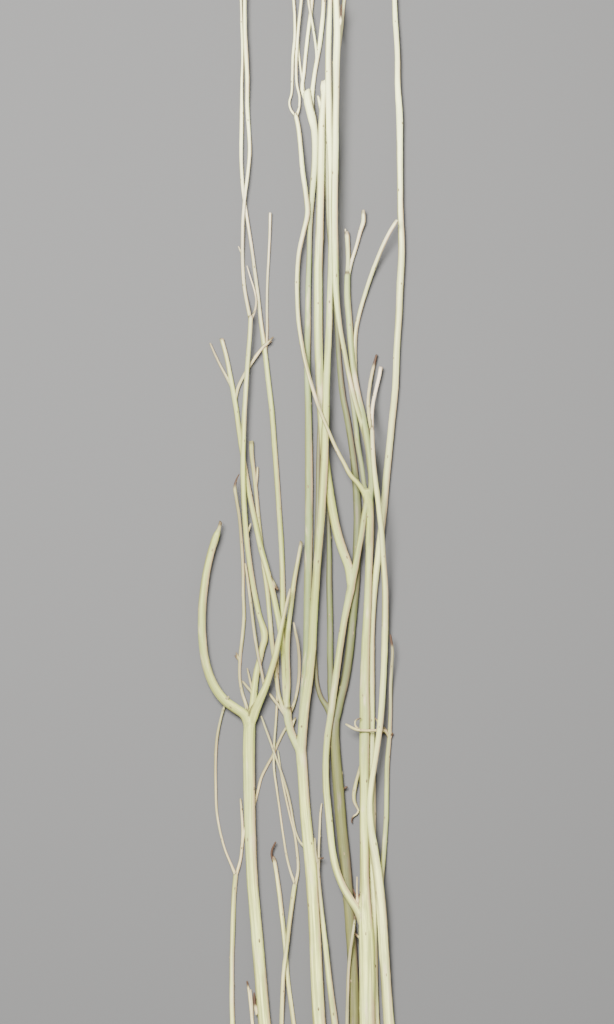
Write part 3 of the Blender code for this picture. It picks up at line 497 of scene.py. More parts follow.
def peeled_wood(name, low, pale, deep, far):
    # Bare bleached wood: long fine grain, pinkish blotches, painted shade in the crotches and on the
    # sides of the strands, and browned tips. Its ground goes from low at the cut ends to pale and
    # then far at the tips, with deep grain; the whiter tips are partly the wood's own and partly
    # painted light for the brighter-lit top of the bunch
    wood = bpy.data.materials.new(name)
    wood.use_nodes = True
    tree = wood.node_tree
    shader = tree.nodes["Principled BSDF"]
    shader.inputs["Metallic"].default_value = 0.0
    shader.inputs["Specular IOR Level"].default_value = 0.35

    def read(label, kind="Fac"):
        return add_node(tree, "ShaderNodeAttribute", attribute_name=label).outputs[kind]

    def noise(stretch, detail=2.0, roughness=0.5):
        # Noise along the grain, stretched by its frequency across, above and along the strand
        place = feed(tree, grain, 0, "ShaderNodeVectorMath", {1: stretch}, operation="MULTIPLY")
        constants = {"Scale": 1.0, "Detail": detail, "Roughness": roughness}
        return feed(tree, place.outputs[0], "Vector", "ShaderNodeTexNoise", constants).outputs["Fac"]

    def ranged(source, low, high, out_low=0.0, out_high=1.0):
        constants = {"From Min": low, "From Max": high, "To Min": out_low, "To Max": out_high}
        made = feed(tree, source, "Value", "ShaderNodeMapRange", constants, interpolation_type="SMOOTHSTEP")
        return made.outputs["Result"]

    def mixed(factor, first, second, how="MIX"):
        made = feed(tree, factor, "Factor", "ShaderNodeMix", data_type="RGBA", blend_type=how)
        for value, socket in ((first, made.inputs[6]), (second, made.inputs[7])):
            if isinstance(value, tuple):
                socket.default_value = (*value, 1)
            else:
                tree.links.new(value, socket)
        return made.outputs[2]

    def layered(colour, layers):
        # Each layer: what steers it, from where to where, its largest share and its colour
        for source, low, high, most, paint in layers:
            colour = mixed(ranged(source, low, high, 0.0, most), colour, paint)
        return colour

    def times(first, second):
        made = feed(tree, first, 0, "ShaderNodeMath", operation="MULTIPLY")
        tree.links.new(second, made.inputs[1])
        return made.outputs[0]

    def tinted(red, green, blue):
        # A colour of this wood's own, by its share of the pale ground
        return (pale[0] * red, pale[1] * green, pale[2] * blue)

    grain = read("grain", "Vector")
    place = add_node(tree, "ShaderNodeTexCoord").outputs["Object"]
    height_up = feed(tree, place, 0, "ShaderNodeSeparateXYZ").outputs["Y"]
    streaks = noise((1300, 1300, 20), 3.0, 0.6)
    bands = noise((330, 330, 6))
    # Painted edge shade: each strand's right and left sides, broken up by noise, are tinted below
    flank = times(read("flank"), ranged(noise((90, 90, 10), 1.0), 0.34, 0.58))
    brown = times(read("browned"), ranged(streaks, 0.25, 0.6, 0.6, 1.0))
    # The ground lightens towards the tips: partly the wood's own whiter tips, partly painted light for the
    # brighter-lit top of the bunch
    ground = mixed(ranged(height_up, -0.60, -0.15), low, pale)
    ground = mixed(ranged(height_up, 0.00, 0.50), ground, far)
    colour = layered(ground, (
        (streaks, 0.38, 0.68, 0.65, deep),                        # fine grain
        (bands, 0.42, 0.62, 0.70, deep),                          # broad grain
        (read("tone_and_shade"), 0.0, 1.0, 0.85, (0.15, 0.19, 0.075)),      # duller strands: partly their own colour, partly painted shade on strands lying behind others
        (read("tone_and_shade"), 0.0, -1.0, 0.80, (1.0, 0.96, 0.55)),       # whiter strands
    ))
    colour = mixed(read("thin"), colour, (0.96, 0.76, 1.20), "MULTIPLY")
    colour = layered(colour, (
        (height_up, 0.28, 0.46, 0.66, (0.97, 1.0, 0.50)),         # whiter at the top: partly the wood's own, partly painted light for the brighter-lit top
        (noise((70, 70, 11), 3.0, 0.55), 0.42, 0.66, 0.34, tinted(0.78, 0.84, 1.45)),  # patches
        (noise((150, 150, 22), 2.0, 0.6), 0.56, 0.74, 0.42, tinted(1.60, 1.08, 3.00)),  # blotches
        (flank, 0.18, 0.80, 0.72, tinted(1.10, 0.68, 1.60)),      # painted shade on each strand's right edge, tinted pinkish
        (flank, -0.40, -0.90, 0.75, tinted(0.38, 0.33, 0.42)),    # painted shade on each strand's left edge
        (noise((1500, 1500, 260), 1.0), 0.70, 0.80, 0.45, (0.36, 0.24, 0.13)),  # flecks
        (read("crotch"), 0.05, 0.70, 0.90, (0.10, 0.085, 0.03)),     # painted shade in the hollows of the forks
        (brown, 0.05, 0.55, 1.0, (0.055, 0.026, 0.012)),          # torn and dried tips
    ))
    # A cut root shows its year rings and a thin dark rim
    turns = feed(tree, read("cut_face"), 0, "ShaderNodeMath", {1: YEAR_RINGS}, operation="MULTIPLY")
    rings = feed(tree, turns.outputs[0], 0, "ShaderNodeMath", operation="SINE")
    face = mixed(ranged(rings.outputs[0], -1.0, 1.0), (0.70, 0.58, 0.36), (0.82, 0.72, 0.50))
    face = mixed(ranged(read("cut_face"), 0.84, 0.93), face, (0.30, 0.18, 0.09))
    colour = mixed(ranged(read("cut_face"), -0.10, -0.02), colour, face)
    tree.links.new(colour, shader.inputs["Base Color"])
    tree.links.new(ranged(streaks, 0.3, 0.7, 0.56, 0.72), shader.inputs["Roughness"])
    broad = feed(tree, bands, "Height", "ShaderNodeBump", {"Strength": 0.5, "Distance": 0.0006})
    fine = feed(tree, streaks, "Height", "ShaderNodeBump", {"Strength": 0.8, "Distance": 0.00022})
    tree.links.new(broad.outputs[0], fine.inputs["Normal"])
    tree.links.new(fine.outputs[0], shader.inputs["Normal"])
    return wood


pale_wood = peeled_wood(
    "peeled_willow", (0.95, 0.98, 0.31), (0.46, 0.50, 0.13), (0.25, 0.268, 0.066), (0.94, 1.0, 0.50)
)
grow("outer_right_stem", pale_wood, 3)


# Shaded stem
# The darker, olive stem that lies on the floor under the middle of the bunch, with three branches.
# It is the same peeled willow in a darker olive copy of its material: painted shade for a stem
# that lies in shadow under the others. Its branches are joined to it, and its forks webbed.
WEB_REACH = 0.034     # the wood within this distance of a fork's root is webbed
FORK_SPAN = 0.020     # branches that start within this distance of each other share one web
WEB_WIDTH = 0.48      # how wide the web blends, as a share of the strand's radius
WEB_TURNS = 7         # how often the web is relaxed
WEB_FADE = 0.45       # the web fades out over this share of its reach
WEB_MARGIN = 0.012    # strands are followed this much farther than the web reaches
WEB_DEPTH = 0.0005    # wood this close to the surface of a strand is moved
WEB_STEP = 0.0012     # the longest move of the wood in one turn


def gap_to(points, rings):
    # Each point's distance outside a strand's surface, and the direction away from its axis
    a = rings[:-1, :3]
    b = rings[1:, :3] - a
    rel = points[:, None, :] - a[None]
    t = np.clip((rel * b[None]).sum(2) / (b * b).sum(1)[None], 0, 1)
    off = rel - t[:, :, None] * b[None]
    far = np.linalg.norm(off, axis=2)
    gap = far - (rings[:-1, 3] + t * (rings[1:, 3] - rings[:-1, 3]))
    best = gap.argmin(1)
    row = np.arange(len(points))
    return gap[row, best], off[row, best] / np.maximum(far[row, best], 1e-9)[:, None]


def fork_groups(lines):
    # The roots of the forks, and the names of the strands that meet at each
    groups = []
    for name, (parent, rings) in lines.items():
        if not parent:
            continue
        for root, names in groups:
            if np.linalg.norm(root - rings[0, :3]) < FORK_SPAN:
                names.extend(n for n in (parent, name) if n not in names)
                break
        else:
            groups.append((rings[0, :3], [parent, name]))
    return groups


def fork_work(verts, lines):
    # For each fork: the points to move, how much each may move, and the strands with their webs
    order = list(lines)
    work = []
    for root, names in fork_groups(lines):
        away = np.linalg.norm(verts - root, axis=1)
        near = np.flatnonzero(away < WEB_REACH)
        fade = np.clip((WEB_REACH - away[near]) / (WEB_FADE * WEB_REACH), 0, 1)
        close = []
        for name in sorted(names, key=order.index):
            parent, rings = lines[name]
            part = np.flatnonzero(np.linalg.norm(rings[:, :3] - root, axis=1) < WEB_REACH + WEB_MARGIN)
            if len(part) >= 2:
                width = rings[0, 3] if parent else rings[-1, 3]
                close.append((rings[part[0]:part[-1] + 1], WEB_WIDTH * width))
        if len(close) >= 2 and len(near):
            least = np.min([gap_to(verts[near], rings)[0] for rings, width in close], axis=0)
            kept = np.abs(least) < WEB_DEPTH
            work.append((near[kept], fade[kept], close))
    return work


def web_forks(mesh, lines):
    # Moves the wood near each fork onto one smooth surface, so the crotch is webbed, not creased
    verts = read_points(mesh)
    edges = np.empty(len(mesh.edges) * 2, dtype=int)
    mesh.edges.foreach_get("vertices", edges)
    edges = edges.reshape(-1, 2)
    degree = np.bincount(edges.ravel(), minlength=len(verts)).clip(1)
    joint = np.zeros(len(verts))
    work = fork_work(verts, lines)
    for turn in range(WEB_TURNS):
        last_turn = turn == WEB_TURNS - 1
        mean = np.empty_like(verts)
        for k in range(3):
            total = np.bincount(edges[:, 0], verts[edges[:, 1], k], len(verts))
            total += np.bincount(edges[:, 1], verts[edges[:, 0], k], len(verts))
            mean[:, k] = total / degree
        for near, fade, close in work:
            points = verts[near]
            depth = np.zeros(len(points))
            for step in range(2):
                gap, slope = gap_to(points, close[0][0])
                slope = slope.copy()
                depth[:] = 0
                for rings, width in close[1:]:
                    other, other_slope = gap_to(points, rings)
                    blend = np.maximum(width * fade, 1e-6)
                    part = np.clip(blend - np.abs(gap - other), 0, None) / blend
                    share_other = np.where(other < gap, 1 - part / 2, part / 2)[:, None]
                    slope = slope * (1 - share_other) + other_slope * share_other
                    gap = np.minimum(gap, other) - part * part * blend / 4
                    depth = np.maximum(depth, part)
                if step == 0 and not last_turn:
                    slack = 0.5 * np.minimum(1, 3 * depth)[:, None] * fade[:, None]
                    points = points + slack * (mean[near] - points)
                    continue
                size = np.maximum((slope * slope).sum(1), 0.15)
                move = np.clip(gap / size, -WEB_STEP, WEB_STEP) * np.minimum(1, 2 * fade)
                points = points - move[:, None] * slope
            verts[near] = points
            if last_turn:
                joint[near] = np.maximum(joint[near], depth * fade)
    mesh.vertices.foreach_set("co", verts.ravel())
    mesh.update()
    # The hollow of each crotch, the webbed wood that faces the tips, is where painted shade goes
    facing = read_points(mesh, "normal")[:, 1]
    return np.clip(2.6 * joint, 0, 1) * np.clip(4.0 * (facing - 0.08), 0, 1)


def join_strands(stem, things):
    # Joins a stem's other strands to its trunk, with no wood left inside
    trunk = things[0]
    group = bpy.data.collections.new(stem + "_branches")
    bpy.context.scene.collection.children.link(group)
    for branch in things[1:]:
        group.objects.link(branch)
        bpy.context.scene.collection.objects.unlink(branch)
    union = trunk.modifiers.new("branches", "BOOLEAN")
    union.operation = "UNION"
    union.operand_type = "COLLECTION"
    union.collection = group
    union.solver = "MANIFOLD"
    make_plain(trunk)
    for branch in things[1:]:
        bpy.data.objects.remove(branch, do_unlink=True)
    bpy.data.collections.remove(group)


def spur(name, source, rise, route, browned=0.4, tone_and_shade=None):
    # Adds a short stub, thorn or splinter that leaves its source at the source's own height
    line = smooth_route(route, FACET)
    z = root_height(source, line[0, 0], line[0, 1]) + rise * np.linspace(0, 1, len(line))
    keep_strand(name, stem_of[source], source, line, np.maximum(z, line[:, 2]), route, browned, tone_and_shade)


lay("shaded", "shaded_stem", 0, [
    (351.5, 1108, 10.5), (353.5, 1055, 10.5), (354.3, 1000, 10.5), (352, 950, 10.5), (349, 905, 10.8),
    (345, 860, 11), (341.5, 825, 11), (338.5, 790, 11), (336, 760, 10.5), (334.5, 735, 10),
    (335, 715, 9.5)], tone_and_shade=0.2)
lay("shaded_right", "shaded", 0.004, [
    (335, 722, 9.2), (339.5, 702, 9), (345, 680, 8.6), (349, 655, 8.4), (352, 625, 8.2), (355, 590, 8.6),
    (357, 550, 8.6), (357.3, 510, 8.2), (355.5, 480, 7.2), (352, 450, 6.4), (347.5, 420, 6.2),
    (342.5, 395, 6), (339.5, 365, 5.2), (337.5, 335, 4.6), (334.5, 300, 4.6), (331.5, 260, 4.8),
    (328.5, 215, 4.8), (327, 170, 4.2), (326.5, 130, 3), (326, 95, 1.8)], tone_and_shade=0.4)
lay("shaded_middle", "shaded", 0.006, [
    (334.5, 718, 7), (331, 700, 6.4), (330.3, 670, 6.4), (330, 630, 6.2), (329.3, 590, 6), (329, 550, 5),
    (328, 520, 3.6), (326.5, 490, 2.4)], tone_and_shade=0.5)
lay("shaded_left", "shaded", 0, [
    (333, 722, 7), (327, 707, 6.4), (321, 698, 5), (317.3, 686, 4.4), (315.5, 665, 4.2), (314.5, 630, 4.2),
    (315, 590, 4.2), (316, 550, 4.4), (317.5, 510, 4.6), (318.3, 470, 4.4), (319, 430, 3.6),
    (320, 400, 2)], tone_and_shade=0.3)
spur("shaded_stub", "shaded", 0, [
    (341, 790, 3.6), (344.4, 788, 2.4), (347.3, 786.3, 2)], browned=0.8)
# A darker olive copy of the peeled willow, painted shade for the shaded stem
shaded_olive_wood = peeled_wood(
    "shaded_olive_willow", (0.165, 0.155, 0.048), (0.135, 0.140, 0.046), (0.080, 0.082, 0.023), (0.16, 0.17, 0.070)
)
grow("shaded_stem", shaded_olive_wood, 5)


# Outer left stem
# The slender forked stem on the far left, with one bowed branch and one straight branch.
# It is thin peeled willow, so it bends at each node. It is swept like the others.
lay("outer_left", "outer_left_stem", 0, [
    (236, 1088, 5.4), (233.5, 1040, 5), (232, 1000, 4.7), (232, 960, 4.6), (233, 925, 4.6), (234, 895, 4.6),
    (236, 872, 4.8)])
lay("outer_left_arc", "outer_left", 0.004, [
    (236, 876, 3.8), (231, 864, 2.6), (225.5, 851, 2.3), (220.5, 833, 2.3), (217, 812, 2.4),
    (215.7, 785, 2.6), (215.7, 760, 2.8), (217, 738, 2.8), (220.5, 720, 2.4), (224.5, 706, 2.3),
    (226.5, 700, 2.3)], browned=0.2)
lay("outer_left_twig", "outer_left", 0, [
    (236.5, 874, 3.8), (240.3, 860, 3), (242.3, 843, 3), (246.5, 824, 2.8), (253, 808, 2.8),
    (257.5, 792, 2.8), (261.5, 777, 2.8), (267, 766, 2.8), (273, 755, 2.7), (278, 743, 2.7),
    (283, 733, 2.6), (287.5, 725.5, 2.4)])
lay("outer_left_tip", "outer_left_twig", 0.003, [
    (242, 847, 2.6), (242.6, 830, 2.6), (241.6, 812, 2.4), (240.5, 798, 1.5)])
grow("outer_left_stem", pale_wood, 7)


# Thin broken stem
# A thin stem near the cut end whose top is snapped off and browned.
# It is peeled willow, and its broken tip turns aside.
lay("thin_broken", "thin_broken_stem", 0.004, [
    (301, 1086, 4.8), (296, 1040, 4.6), (291, 1005, 4.2), (288, 980, 4.2), (286, 958, 4.4),
    (284.5, 940, 4.5), (281.5, 912, 4.6), (278.5, 888, 4.4), (275.5, 866, 3.8),
    (273.6, 856, 3.7)], browned=0.5)
spur("dark_hook", "thin_broken", 0.001, [
    (272.9, 861, 2.4), (271.5, 853.6, 2.2), (272.2, 849, 2.2), (273.8, 845.4, 2.1),
    (275.8, 841.4, 1.7)], browned=1.6)
grow("thin_broken_stem", pale_wood, 11)


# Thin forked stem
# A thin stem that crosses the broken one and forks into two hair-thin twigs.
# It is peeled willow, swept and joined at the fork.
lay("thin_forked", "thin_forked_stem", 0, [
    (281, 1096, 4.6), (281.5, 1050, 4.4), (282, 1010, 4.2), (283, 980, 4.1), (286, 952, 4.2),
    (289, 925, 4.4), (292, 903, 4.6), (295.3, 882, 4.6)])
lay("thin_fork_left", "thin_forked", 0.002, [
    (295, 884, 3.2), (291, 873, 2.3), (287, 858, 2.1), (283.5, 837, 2.1), (280, 812, 2.1),
    (276.5, 788, 2.2), (274, 768, 2.2), (274.2, 745, 2.2), (275.8, 722, 2.3), (277, 700, 2.4),
    (277.7, 675, 2.5), (278, 655, 1.8)])
lay("thin_fork_right", "thin_forked", 0.002, [
    (295.6, 884, 3.6), (298, 870, 2.8), (297, 852, 2.6), (294.5, 834, 2.4), (290.5, 818, 2.2),
    (286.3, 800, 2.2), (282.8, 783, 2.1), (280, 766, 2.1), (278, 750, 1.4)])
grow("thin_forked_stem", pale_wood, 13)


# Middle stem: trunk, left fork and back strand
# The thick stem in the middle forks near half its length. Its left fork carries six twigs.
# All of it is peeled willow. These strands are laid now, and the right fork is laid later.
lay("middle", "middle_stem", 0, [
    (327, 1122, 13.5), (323, 1070, 13.2), (319, 1020, 13), (317, 980, 12.4), (315.3, 940, 12),
    (313, 900, 12), (310.8, 865, 12), (307.5, 835, 11.2), (304.8, 805, 10.6), (302.8, 775, 10.4),
    (301, 752, 10.6), (300, 742, 10)], tone_and_shade=0.1)
lay("middle_left", "middle", 0, [
    (300.5, 752, 8.6), (295.5, 742, 8), (290.3, 730, 7.6), (287.4, 716, 7.3), (286.9, 706, 7.1)])
lay("top_left_strand", "middle_left", 0.008, [
    (287.7, 719, 7.3), (286.7, 704, 7), (285.4, 685, 6.3), (284, 655, 5.8), (282.8, 620, 5.6),
    (282.8, 590, 5.4), (282, 560, 5.2), (280, 525, 5.2), (277.2, 485, 5.2), (274.8, 450, 5.2),
    (272, 415, 5.2), (268.2, 380, 5), (264.5, 350, 4.8), (261, 322, 4), (257.8, 295, 3.5), (254, 265, 3.3),
    (250, 238, 3.2), (246.5, 214, 3.1), (243, 190, 3.3), (241.4, 165, 3.5), (241.5, 130, 3.5),
    (241.7, 95, 3), (242.4, 60, 2.4), (241.6, 20, 2.2), (240, -20, 1.9), (238, -60, 1.4)])
lay("upright_twig", "top_left_strand", 0.005, [
    (264.8, 358, 3.2), (266.7, 340, 2.6), (267, 310, 2.4), (267.2, 285, 2.4), (268.6, 255, 2.5),
    (269.8, 230, 2.6), (270.2, 213, 2.7)])
lay("leaning_twig", "middle_left", 0.012, [
    (286.8, 706, 5.4), (288, 685, 5), (287.3, 655, 5), (288.3, 630, 5), (291.3, 603, 5), (294.2, 580, 4.6),
    (298, 560, 4), (301.3, 542, 3.4)], browned=0.35)
lay("looped_twig", "middle_left", 0.004, [
    (288, 717, 3.6), (292, 709, 3), (296, 696, 3), (298.6, 680, 3), (299.3, 662, 2.9), (298, 645, 2.7),
    (295.3, 631, 2.4), (293.7, 622, 1.6)], tone_and_shade=0.4)
lay("link_twig", "middle_left", 0, [
    (286.5, 717, 3.8), (280, 707, 3.2), (274.5, 700, 3), (269.5, 693.5, 2.2)], tone_and_shade=0.35)
lay("fork_stub", "middle_left", 0.002, [
    (290.5, 729, 3.6), (293, 723, 3), (295.5, 717, 2)])
lay("low_left_strand", "middle_left", 0.004, [
    (285.8, 712, 4.4), (279.3, 697, 4), (276.6, 680, 4), (274.3, 660, 4.2), (272, 640, 4.4),
    (269.3, 612, 4.6), (266.4, 585, 4.6), (263, 560, 4.2), (260.5, 535, 3.8), (258, 512, 3.8),
    (256, 493, 3.9), (253.8, 472, 4), (251.8, 455, 4.3), (251.3, 441, 4.8)], browned=0.35, tone_and_shade=0.3)
lay("low_left_tip", "low_left_strand", 0.002, [
    (255.5, 489, 2.8), (257, 478, 2.4), (257.6, 467, 1.8)])
lay("crossing_strand", "top_left_strand", 0.002, [
    (283.8, 655, 6), (280.5, 630, 5.8), (276.5, 608, 5.6), (271.8, 588, 5.6), (266.5, 568, 5.6),
    (261, 548, 5.5), (256.5, 528, 5.4), (252.3, 508, 5.2), (248.5, 488, 4.9), (244.8, 467, 4.8),
    (241.3, 445, 5), (238.3, 425, 5), (235.8, 407, 5), (233, 390, 4.9), (230, 374, 4.5), (226.5, 357, 4.2),
    (221.6, 339, 4.2)])
lay("crossing_left_tip", "crossing_strand", 0.004, [
    (231.8, 387, 3.6), (226.5, 377, 3), (220.5, 366, 2.5), (214.7, 354, 2.2), (210, 343, 1.5)])
lay("crossing_right_tip", "crossing_strand", -0.002, [
    (235, 401, 3.8), (238, 388, 3.3), (244, 375.5, 3.2), (251, 364, 3.3), (257.5, 354.5, 3.2),
    (263.5, 347, 2.8), (268.5, 342, 2.3), (273.5, 337, 1.4)], browned=0.45)
lay("back_strand", "middle", 0.006, [
    (300.6, 748, 7), (301.5, 725, 7), (303.7, 695, 7.2), (306.4, 660, 7.4), (307.4, 620, 7.8),
    (308, 580, 8), (308.8, 530, 8), (309, 480, 8), (308.7, 435, 7.4), (308, 400, 6.6), (307.4, 365, 6.2),
    (307.6, 325, 6), (308.3, 285, 5.4), (309.2, 250, 5), (310.2, 220, 5.2), (312.5, 190, 6),
    (314.8, 160, 6.4), (315, 138, 6.8), (313, 120, 6.6), (311, 108, 5.8)], tone_and_shade=1.0)
lay("back_left_tip", "back_strand", 0.012, [
    (312, 113, 5), (306.5, 102, 4.2), (302.3, 91, 3.8), (304, 72, 3.6), (306, 52, 3.6), (308.5, 30, 3.5),
    (310.8, 12, 3.7), (313, -15, 3.4), (312, -50, 2.6), (314, -85, 1.6)])
lay("back_right_tip", "back_strand", 0.016, [
    (312.2, 116, 5), (311.8, 97, 4.4), (314, 78, 4.2), (317.5, 58, 4.2), (320.5, 38, 4.2), (322.7, 18, 4.2),
    (324, -5, 4), (323, -45, 3.2), (325, -95, 1.8)])
lay("back_thin_tip", "back_right_tip", 0.010, [
    (316.6, 66, 2.6), (316, 50, 2.4), (313.8, 34, 2.2), (311.5, 20, 2.2), (308.8, 4, 2.4), (308, -25, 2),
    (305, -62, 1.3)])
lay("back_low_tip", "back_left_tip", 0.003, [
    (304.2, 95, 2.8), (301.4, 76, 2), (299.2, 58, 2), (297.8, 40, 2)])
lay("long_crossing_twig", "middle", 0.002, [
    (306.5, 848, 3), (301, 843, 2.2), (296.8, 835, 2), (293.3, 822, 2.2), (290.7, 806, 2.3),
    (287, 790, 2.4), (281.5, 772.5, 2.3), (276, 757.5, 2.2), (271, 743, 2.2), (265.3, 727, 2.2),
    (261.3, 715.5, 1.6)])
spur("crossing_second_tip", "crossing_right_tip", 0.001, [
    (265, 346.5, 2), (268.5, 343.8, 1.6), (271.8, 341.5, 1.1)], browned=0.5)
spur("crossing_short_spur", "crossing_strand", 0.001, [
    (270.5, 577, 3.6), (274.3, 584, 3.2), (278, 589.8, 2.2)], browned=0.6)
spur("torn_fan", "back_strand", 0.001, [
    (313, 128, 6), (310.4, 113, 8), (308, 102, 8.4), (307, 92, 7.4)], browned=0.2)
spur("torn_fan_splinter", "back_strand", 0, [
    (307.5, 104, 3.4), (304.6, 97, 2.6), (303.8, 93.5, 1.4)], browned=0.3)
spur("fork_stub_side", "fork_stub", 0.001, [
    (291.5, 724, 3), (290.4, 715, 2.6), (291, 708, 1.6)], browned=0.5)


# Left stem
# The thick stem on the left forks into a wide bowed arc, a lean branch and a long strand.
# It is peeled willow with many fine twigs, all swept and joined to one wood.
lay("left", "left_stem", 0, [
    (273, 1112, 13), (268.5, 1060, 12.6), (263.8, 1015, 12.4), (260, 970, 12), (256.6, 930, 11.6),
    (253.2, 890, 11.2), (251, 850, 11.2), (249.8, 810, 11.6), (249.2, 770, 12), (249.3, 735, 12),
    (250, 716, 11)])
lay("left_arc", "left", 0.012, [
    (249.5, 727, 10.4), (244.5, 714.5, 10), (235.5, 708, 9.6), (226, 701, 9.4), (217, 690, 9.2),
    (210, 676, 8.8), (205, 658, 8.5), (202.6, 638, 8.3), (202.2, 615, 8.2), (204, 590, 8),
    (207.5, 568, 7.6), (212.2, 549, 7.2), (217.2, 534, 6.4), (219, 529.5, 4),
    (220.9, 521.5, 3.2)], browned=0.45)
lay("left_lean", "left", 0.006, [
    (251, 724, 9.4), (256, 709, 9), (261.5, 696, 7.6), (266, 686, 6.6), (270.3, 673, 6.2),
    (274.3, 660, 6.2), (277.8, 645, 5.8), (281.3, 628, 4.6), (284.7, 612, 3.4), (288, 598, 2.8),
    (290.5, 588, 2)])
lay("left_long", "left", 0.008, [
    (251, 720, 9), (253, 705, 7.4), (254.3, 690, 6.6), (256.7, 673, 6.4), (260.3, 657, 6.2),
    (262.4, 647, 6.4), (264.5, 639, 7), (264.3, 632.5, 7.4), (262.6, 625.5, 6.3), (260, 617, 5.3),
    (256.9, 604, 5.5), (252.2, 580, 5.4), (249, 558, 5.2), (246.3, 533, 5.2), (244.3, 508, 5.2),
    (243.4, 480, 5.2), (243.3, 450, 5), (244.3, 420, 4.8), (246, 390, 4.6), (248.2, 358, 4.4),
    (250, 335, 4.4), (251, 316, 4.4)])
lay("left_top", "left_long", 0.010, [
    (250.8, 322, 4), (247.5, 306, 3.7), (244.3, 288, 3.6), (242.8, 265, 3.5), (242.6, 240, 3.3),
    (243.2, 218, 3.1), (245, 198, 3.1), (247.8, 175, 3.4), (249.6, 150, 3.7), (248.7, 128, 3.6),
    (247.3, 105, 3.9), (247.2, 80, 4.2), (246.2, 55, 4.4), (245, 30, 4), (244.8, 0, 3.7), (246, -40, 3),
    (245, -90, 1.6)])
lay("left_top_twig", "left_long", 0.002, [
    (251.4, 320, 3.2), (255, 311, 2.2), (256.2, 302, 1.9), (254.5, 291, 1.8), (250.8, 279, 1.6),
    (247, 266, 1.2)])
lay("left_top_stub", "left_top", 0.002, [
    (242.8, 256, 2.4), (240.4, 251, 1.8), (238.4, 246.5, 1.2)])
lay("left_thin_strand", "left", 0.004, [
    (248, 722, 5), (246.7, 707, 3.6), (242.6, 694, 3.1), (239.8, 678, 3), (240.2, 658, 3.3),
    (242.6, 636, 3.6), (244, 616, 3.5), (243.4, 592, 3.2), (242.8, 565, 3.2), (241.4, 540, 3.1),
    (239, 515, 3.1), (236.6, 499, 3.2), (235.3, 486, 3), (236.6, 480, 1.7), (239.6, 474, 1.1)], browned=1.0)
lay("left_short_spur", "left_long", 0.001, [
    (254, 694, 3.4), (247.5, 687, 2.7), (242.6, 681, 2)])
lay("left_spur_tip", "left_long", 0.004, [
    (254.5, 697, 3), (250, 680, 2.2), (247.2, 668, 1.4)])
lay("left_under_strand", "left_lean", 0, [
    (265, 689, 3.6), (262.3, 675, 2.8), (259, 660, 3), (256, 642, 3.2), (253.2, 622, 3.1), (250.6, 602, 3),
    (248, 582, 2.8), (245.3, 563, 1.8)], tone_and_shade=0.45)
lay("left_bud_stub", "left_long", 0.001, [
    (246.3, 540, 3), (248.4, 531, 2.2), (251, 523.5, 1.3)])
lay("left_low_spur", "left", 0, [
    (270, 1080, 5), (260, 1056, 4.4), (254.4, 1034, 3.6), (251.6, 1015, 3), (250, 1002, 2.8),
    (248.6, 990, 2.6), (247, 980.5, 1.7)], browned=0.6)
spur("thin_bud", "left_thin_strand", 0.001, [
    (240.8, 662, 2.4), (238.4, 657.2, 2.8), (236.1, 652.6, 1.3)], browned=0.4)
spur("thin_bud_scale", "left_thin_strand", 0, [
    (239.6, 660, 2.4), (236.9, 658, 2.2), (234.9, 655.2, 1.1)], browned=0.5)
spur("low_splinter", "left_low_spur", 0.0008, [
    (252.6, 1020, 2.6), (252, 1004, 2.2), (250.6, 989, 1.6)], browned=0.2)
spur("low_dark_scale", "left", 0.002, [
    (257, 1014, 3.6), (254.9, 1003, 3), (254.2, 991.5, 1.6)], browned=1.0)
spur("arc_twig_end", "left_arc", 0.0056, [
    (225.2, 705, 2.4), (226.8, 700.8, 3), (229, 695.6, 2)], browned=0.2)
grow("left_stem", pale_wood, 17)


# Crowned stem: trunk, left fork and hub
# The thickest stem, on the right. Its left fork carries a broken strand, and its top is a hub.
# It is peeled willow. The last strands of the hub lie over the middle stem and come later.
lay("crowned", "crowned_stem", 0, [
    (368.5, 1116, 16.5), (367.8, 1070, 16.2), (367.2, 1020, 16), (367, 970, 15.6), (366.3, 935, 15),
    (365, 912, 13.5), (364.6, 885, 10), (364.2, 845, 9.2), (364, 800, 9), (364.2, 755, 9.8),
    (364.6, 715, 10.4), (364.6, 680, 9.4), (365.6, 645, 8.6), (367.4, 605, 7.6), (369, 560, 7.2),
    (369.8, 525, 7.8), (369.3, 508, 8.6), (368.2, 497, 9.6), (367, 489.5, 9)], tone_and_shade=0.35)
lay("crowned_left", "crowned", 0, [
    (364, 925, 11), (358, 910, 9), (350.5, 898.5, 7.8), (343, 885.5, 7.4), (337, 870.5, 7.2),
    (332.8, 852, 7), (330.3, 832, 7), (328, 808, 7), (326, 785, 6.8), (325.7, 762, 6.6), (327.2, 740, 6.6),
    (330.2, 717, 6.6), (333.3, 695, 6.8), (336.5, 672, 6.8), (340, 646, 6.8), (344.2, 620, 6.8),
    (349, 597, 7.4), (351.5, 584, 8)])
lay("broken_top_strand", "crowned_left", 0.004, [
    (351.3, 589, 8.2), (348.5, 567, 8.8), (342.5, 550, 9), (337, 532, 9), (332, 508, 9), (327.6, 480, 8.8),
    (323.8, 445, 8.6), (320.8, 405, 8.4), (319, 360, 8.4), (318.2, 310, 8.8), (318.3, 270, 8.6),
    (319.4, 235, 8), (320.4, 195, 7.6), (321, 155, 7.4), (322, 120, 6.6), (323.6, 95, 5.6),
    (324.8, 82, 4.4)], tone_and_shade=0.2)
lay("hub_brace", "crowned_left", 0.004, [
    (348.2, 600, 7.2), (351, 587, 7.2), (354.5, 570, 6.6), (358, 552, 6), (361.2, 534, 5.8),
    (363.8, 516, 5.8), (366, 503, 5.8), (367, 491.5, 5.6)])
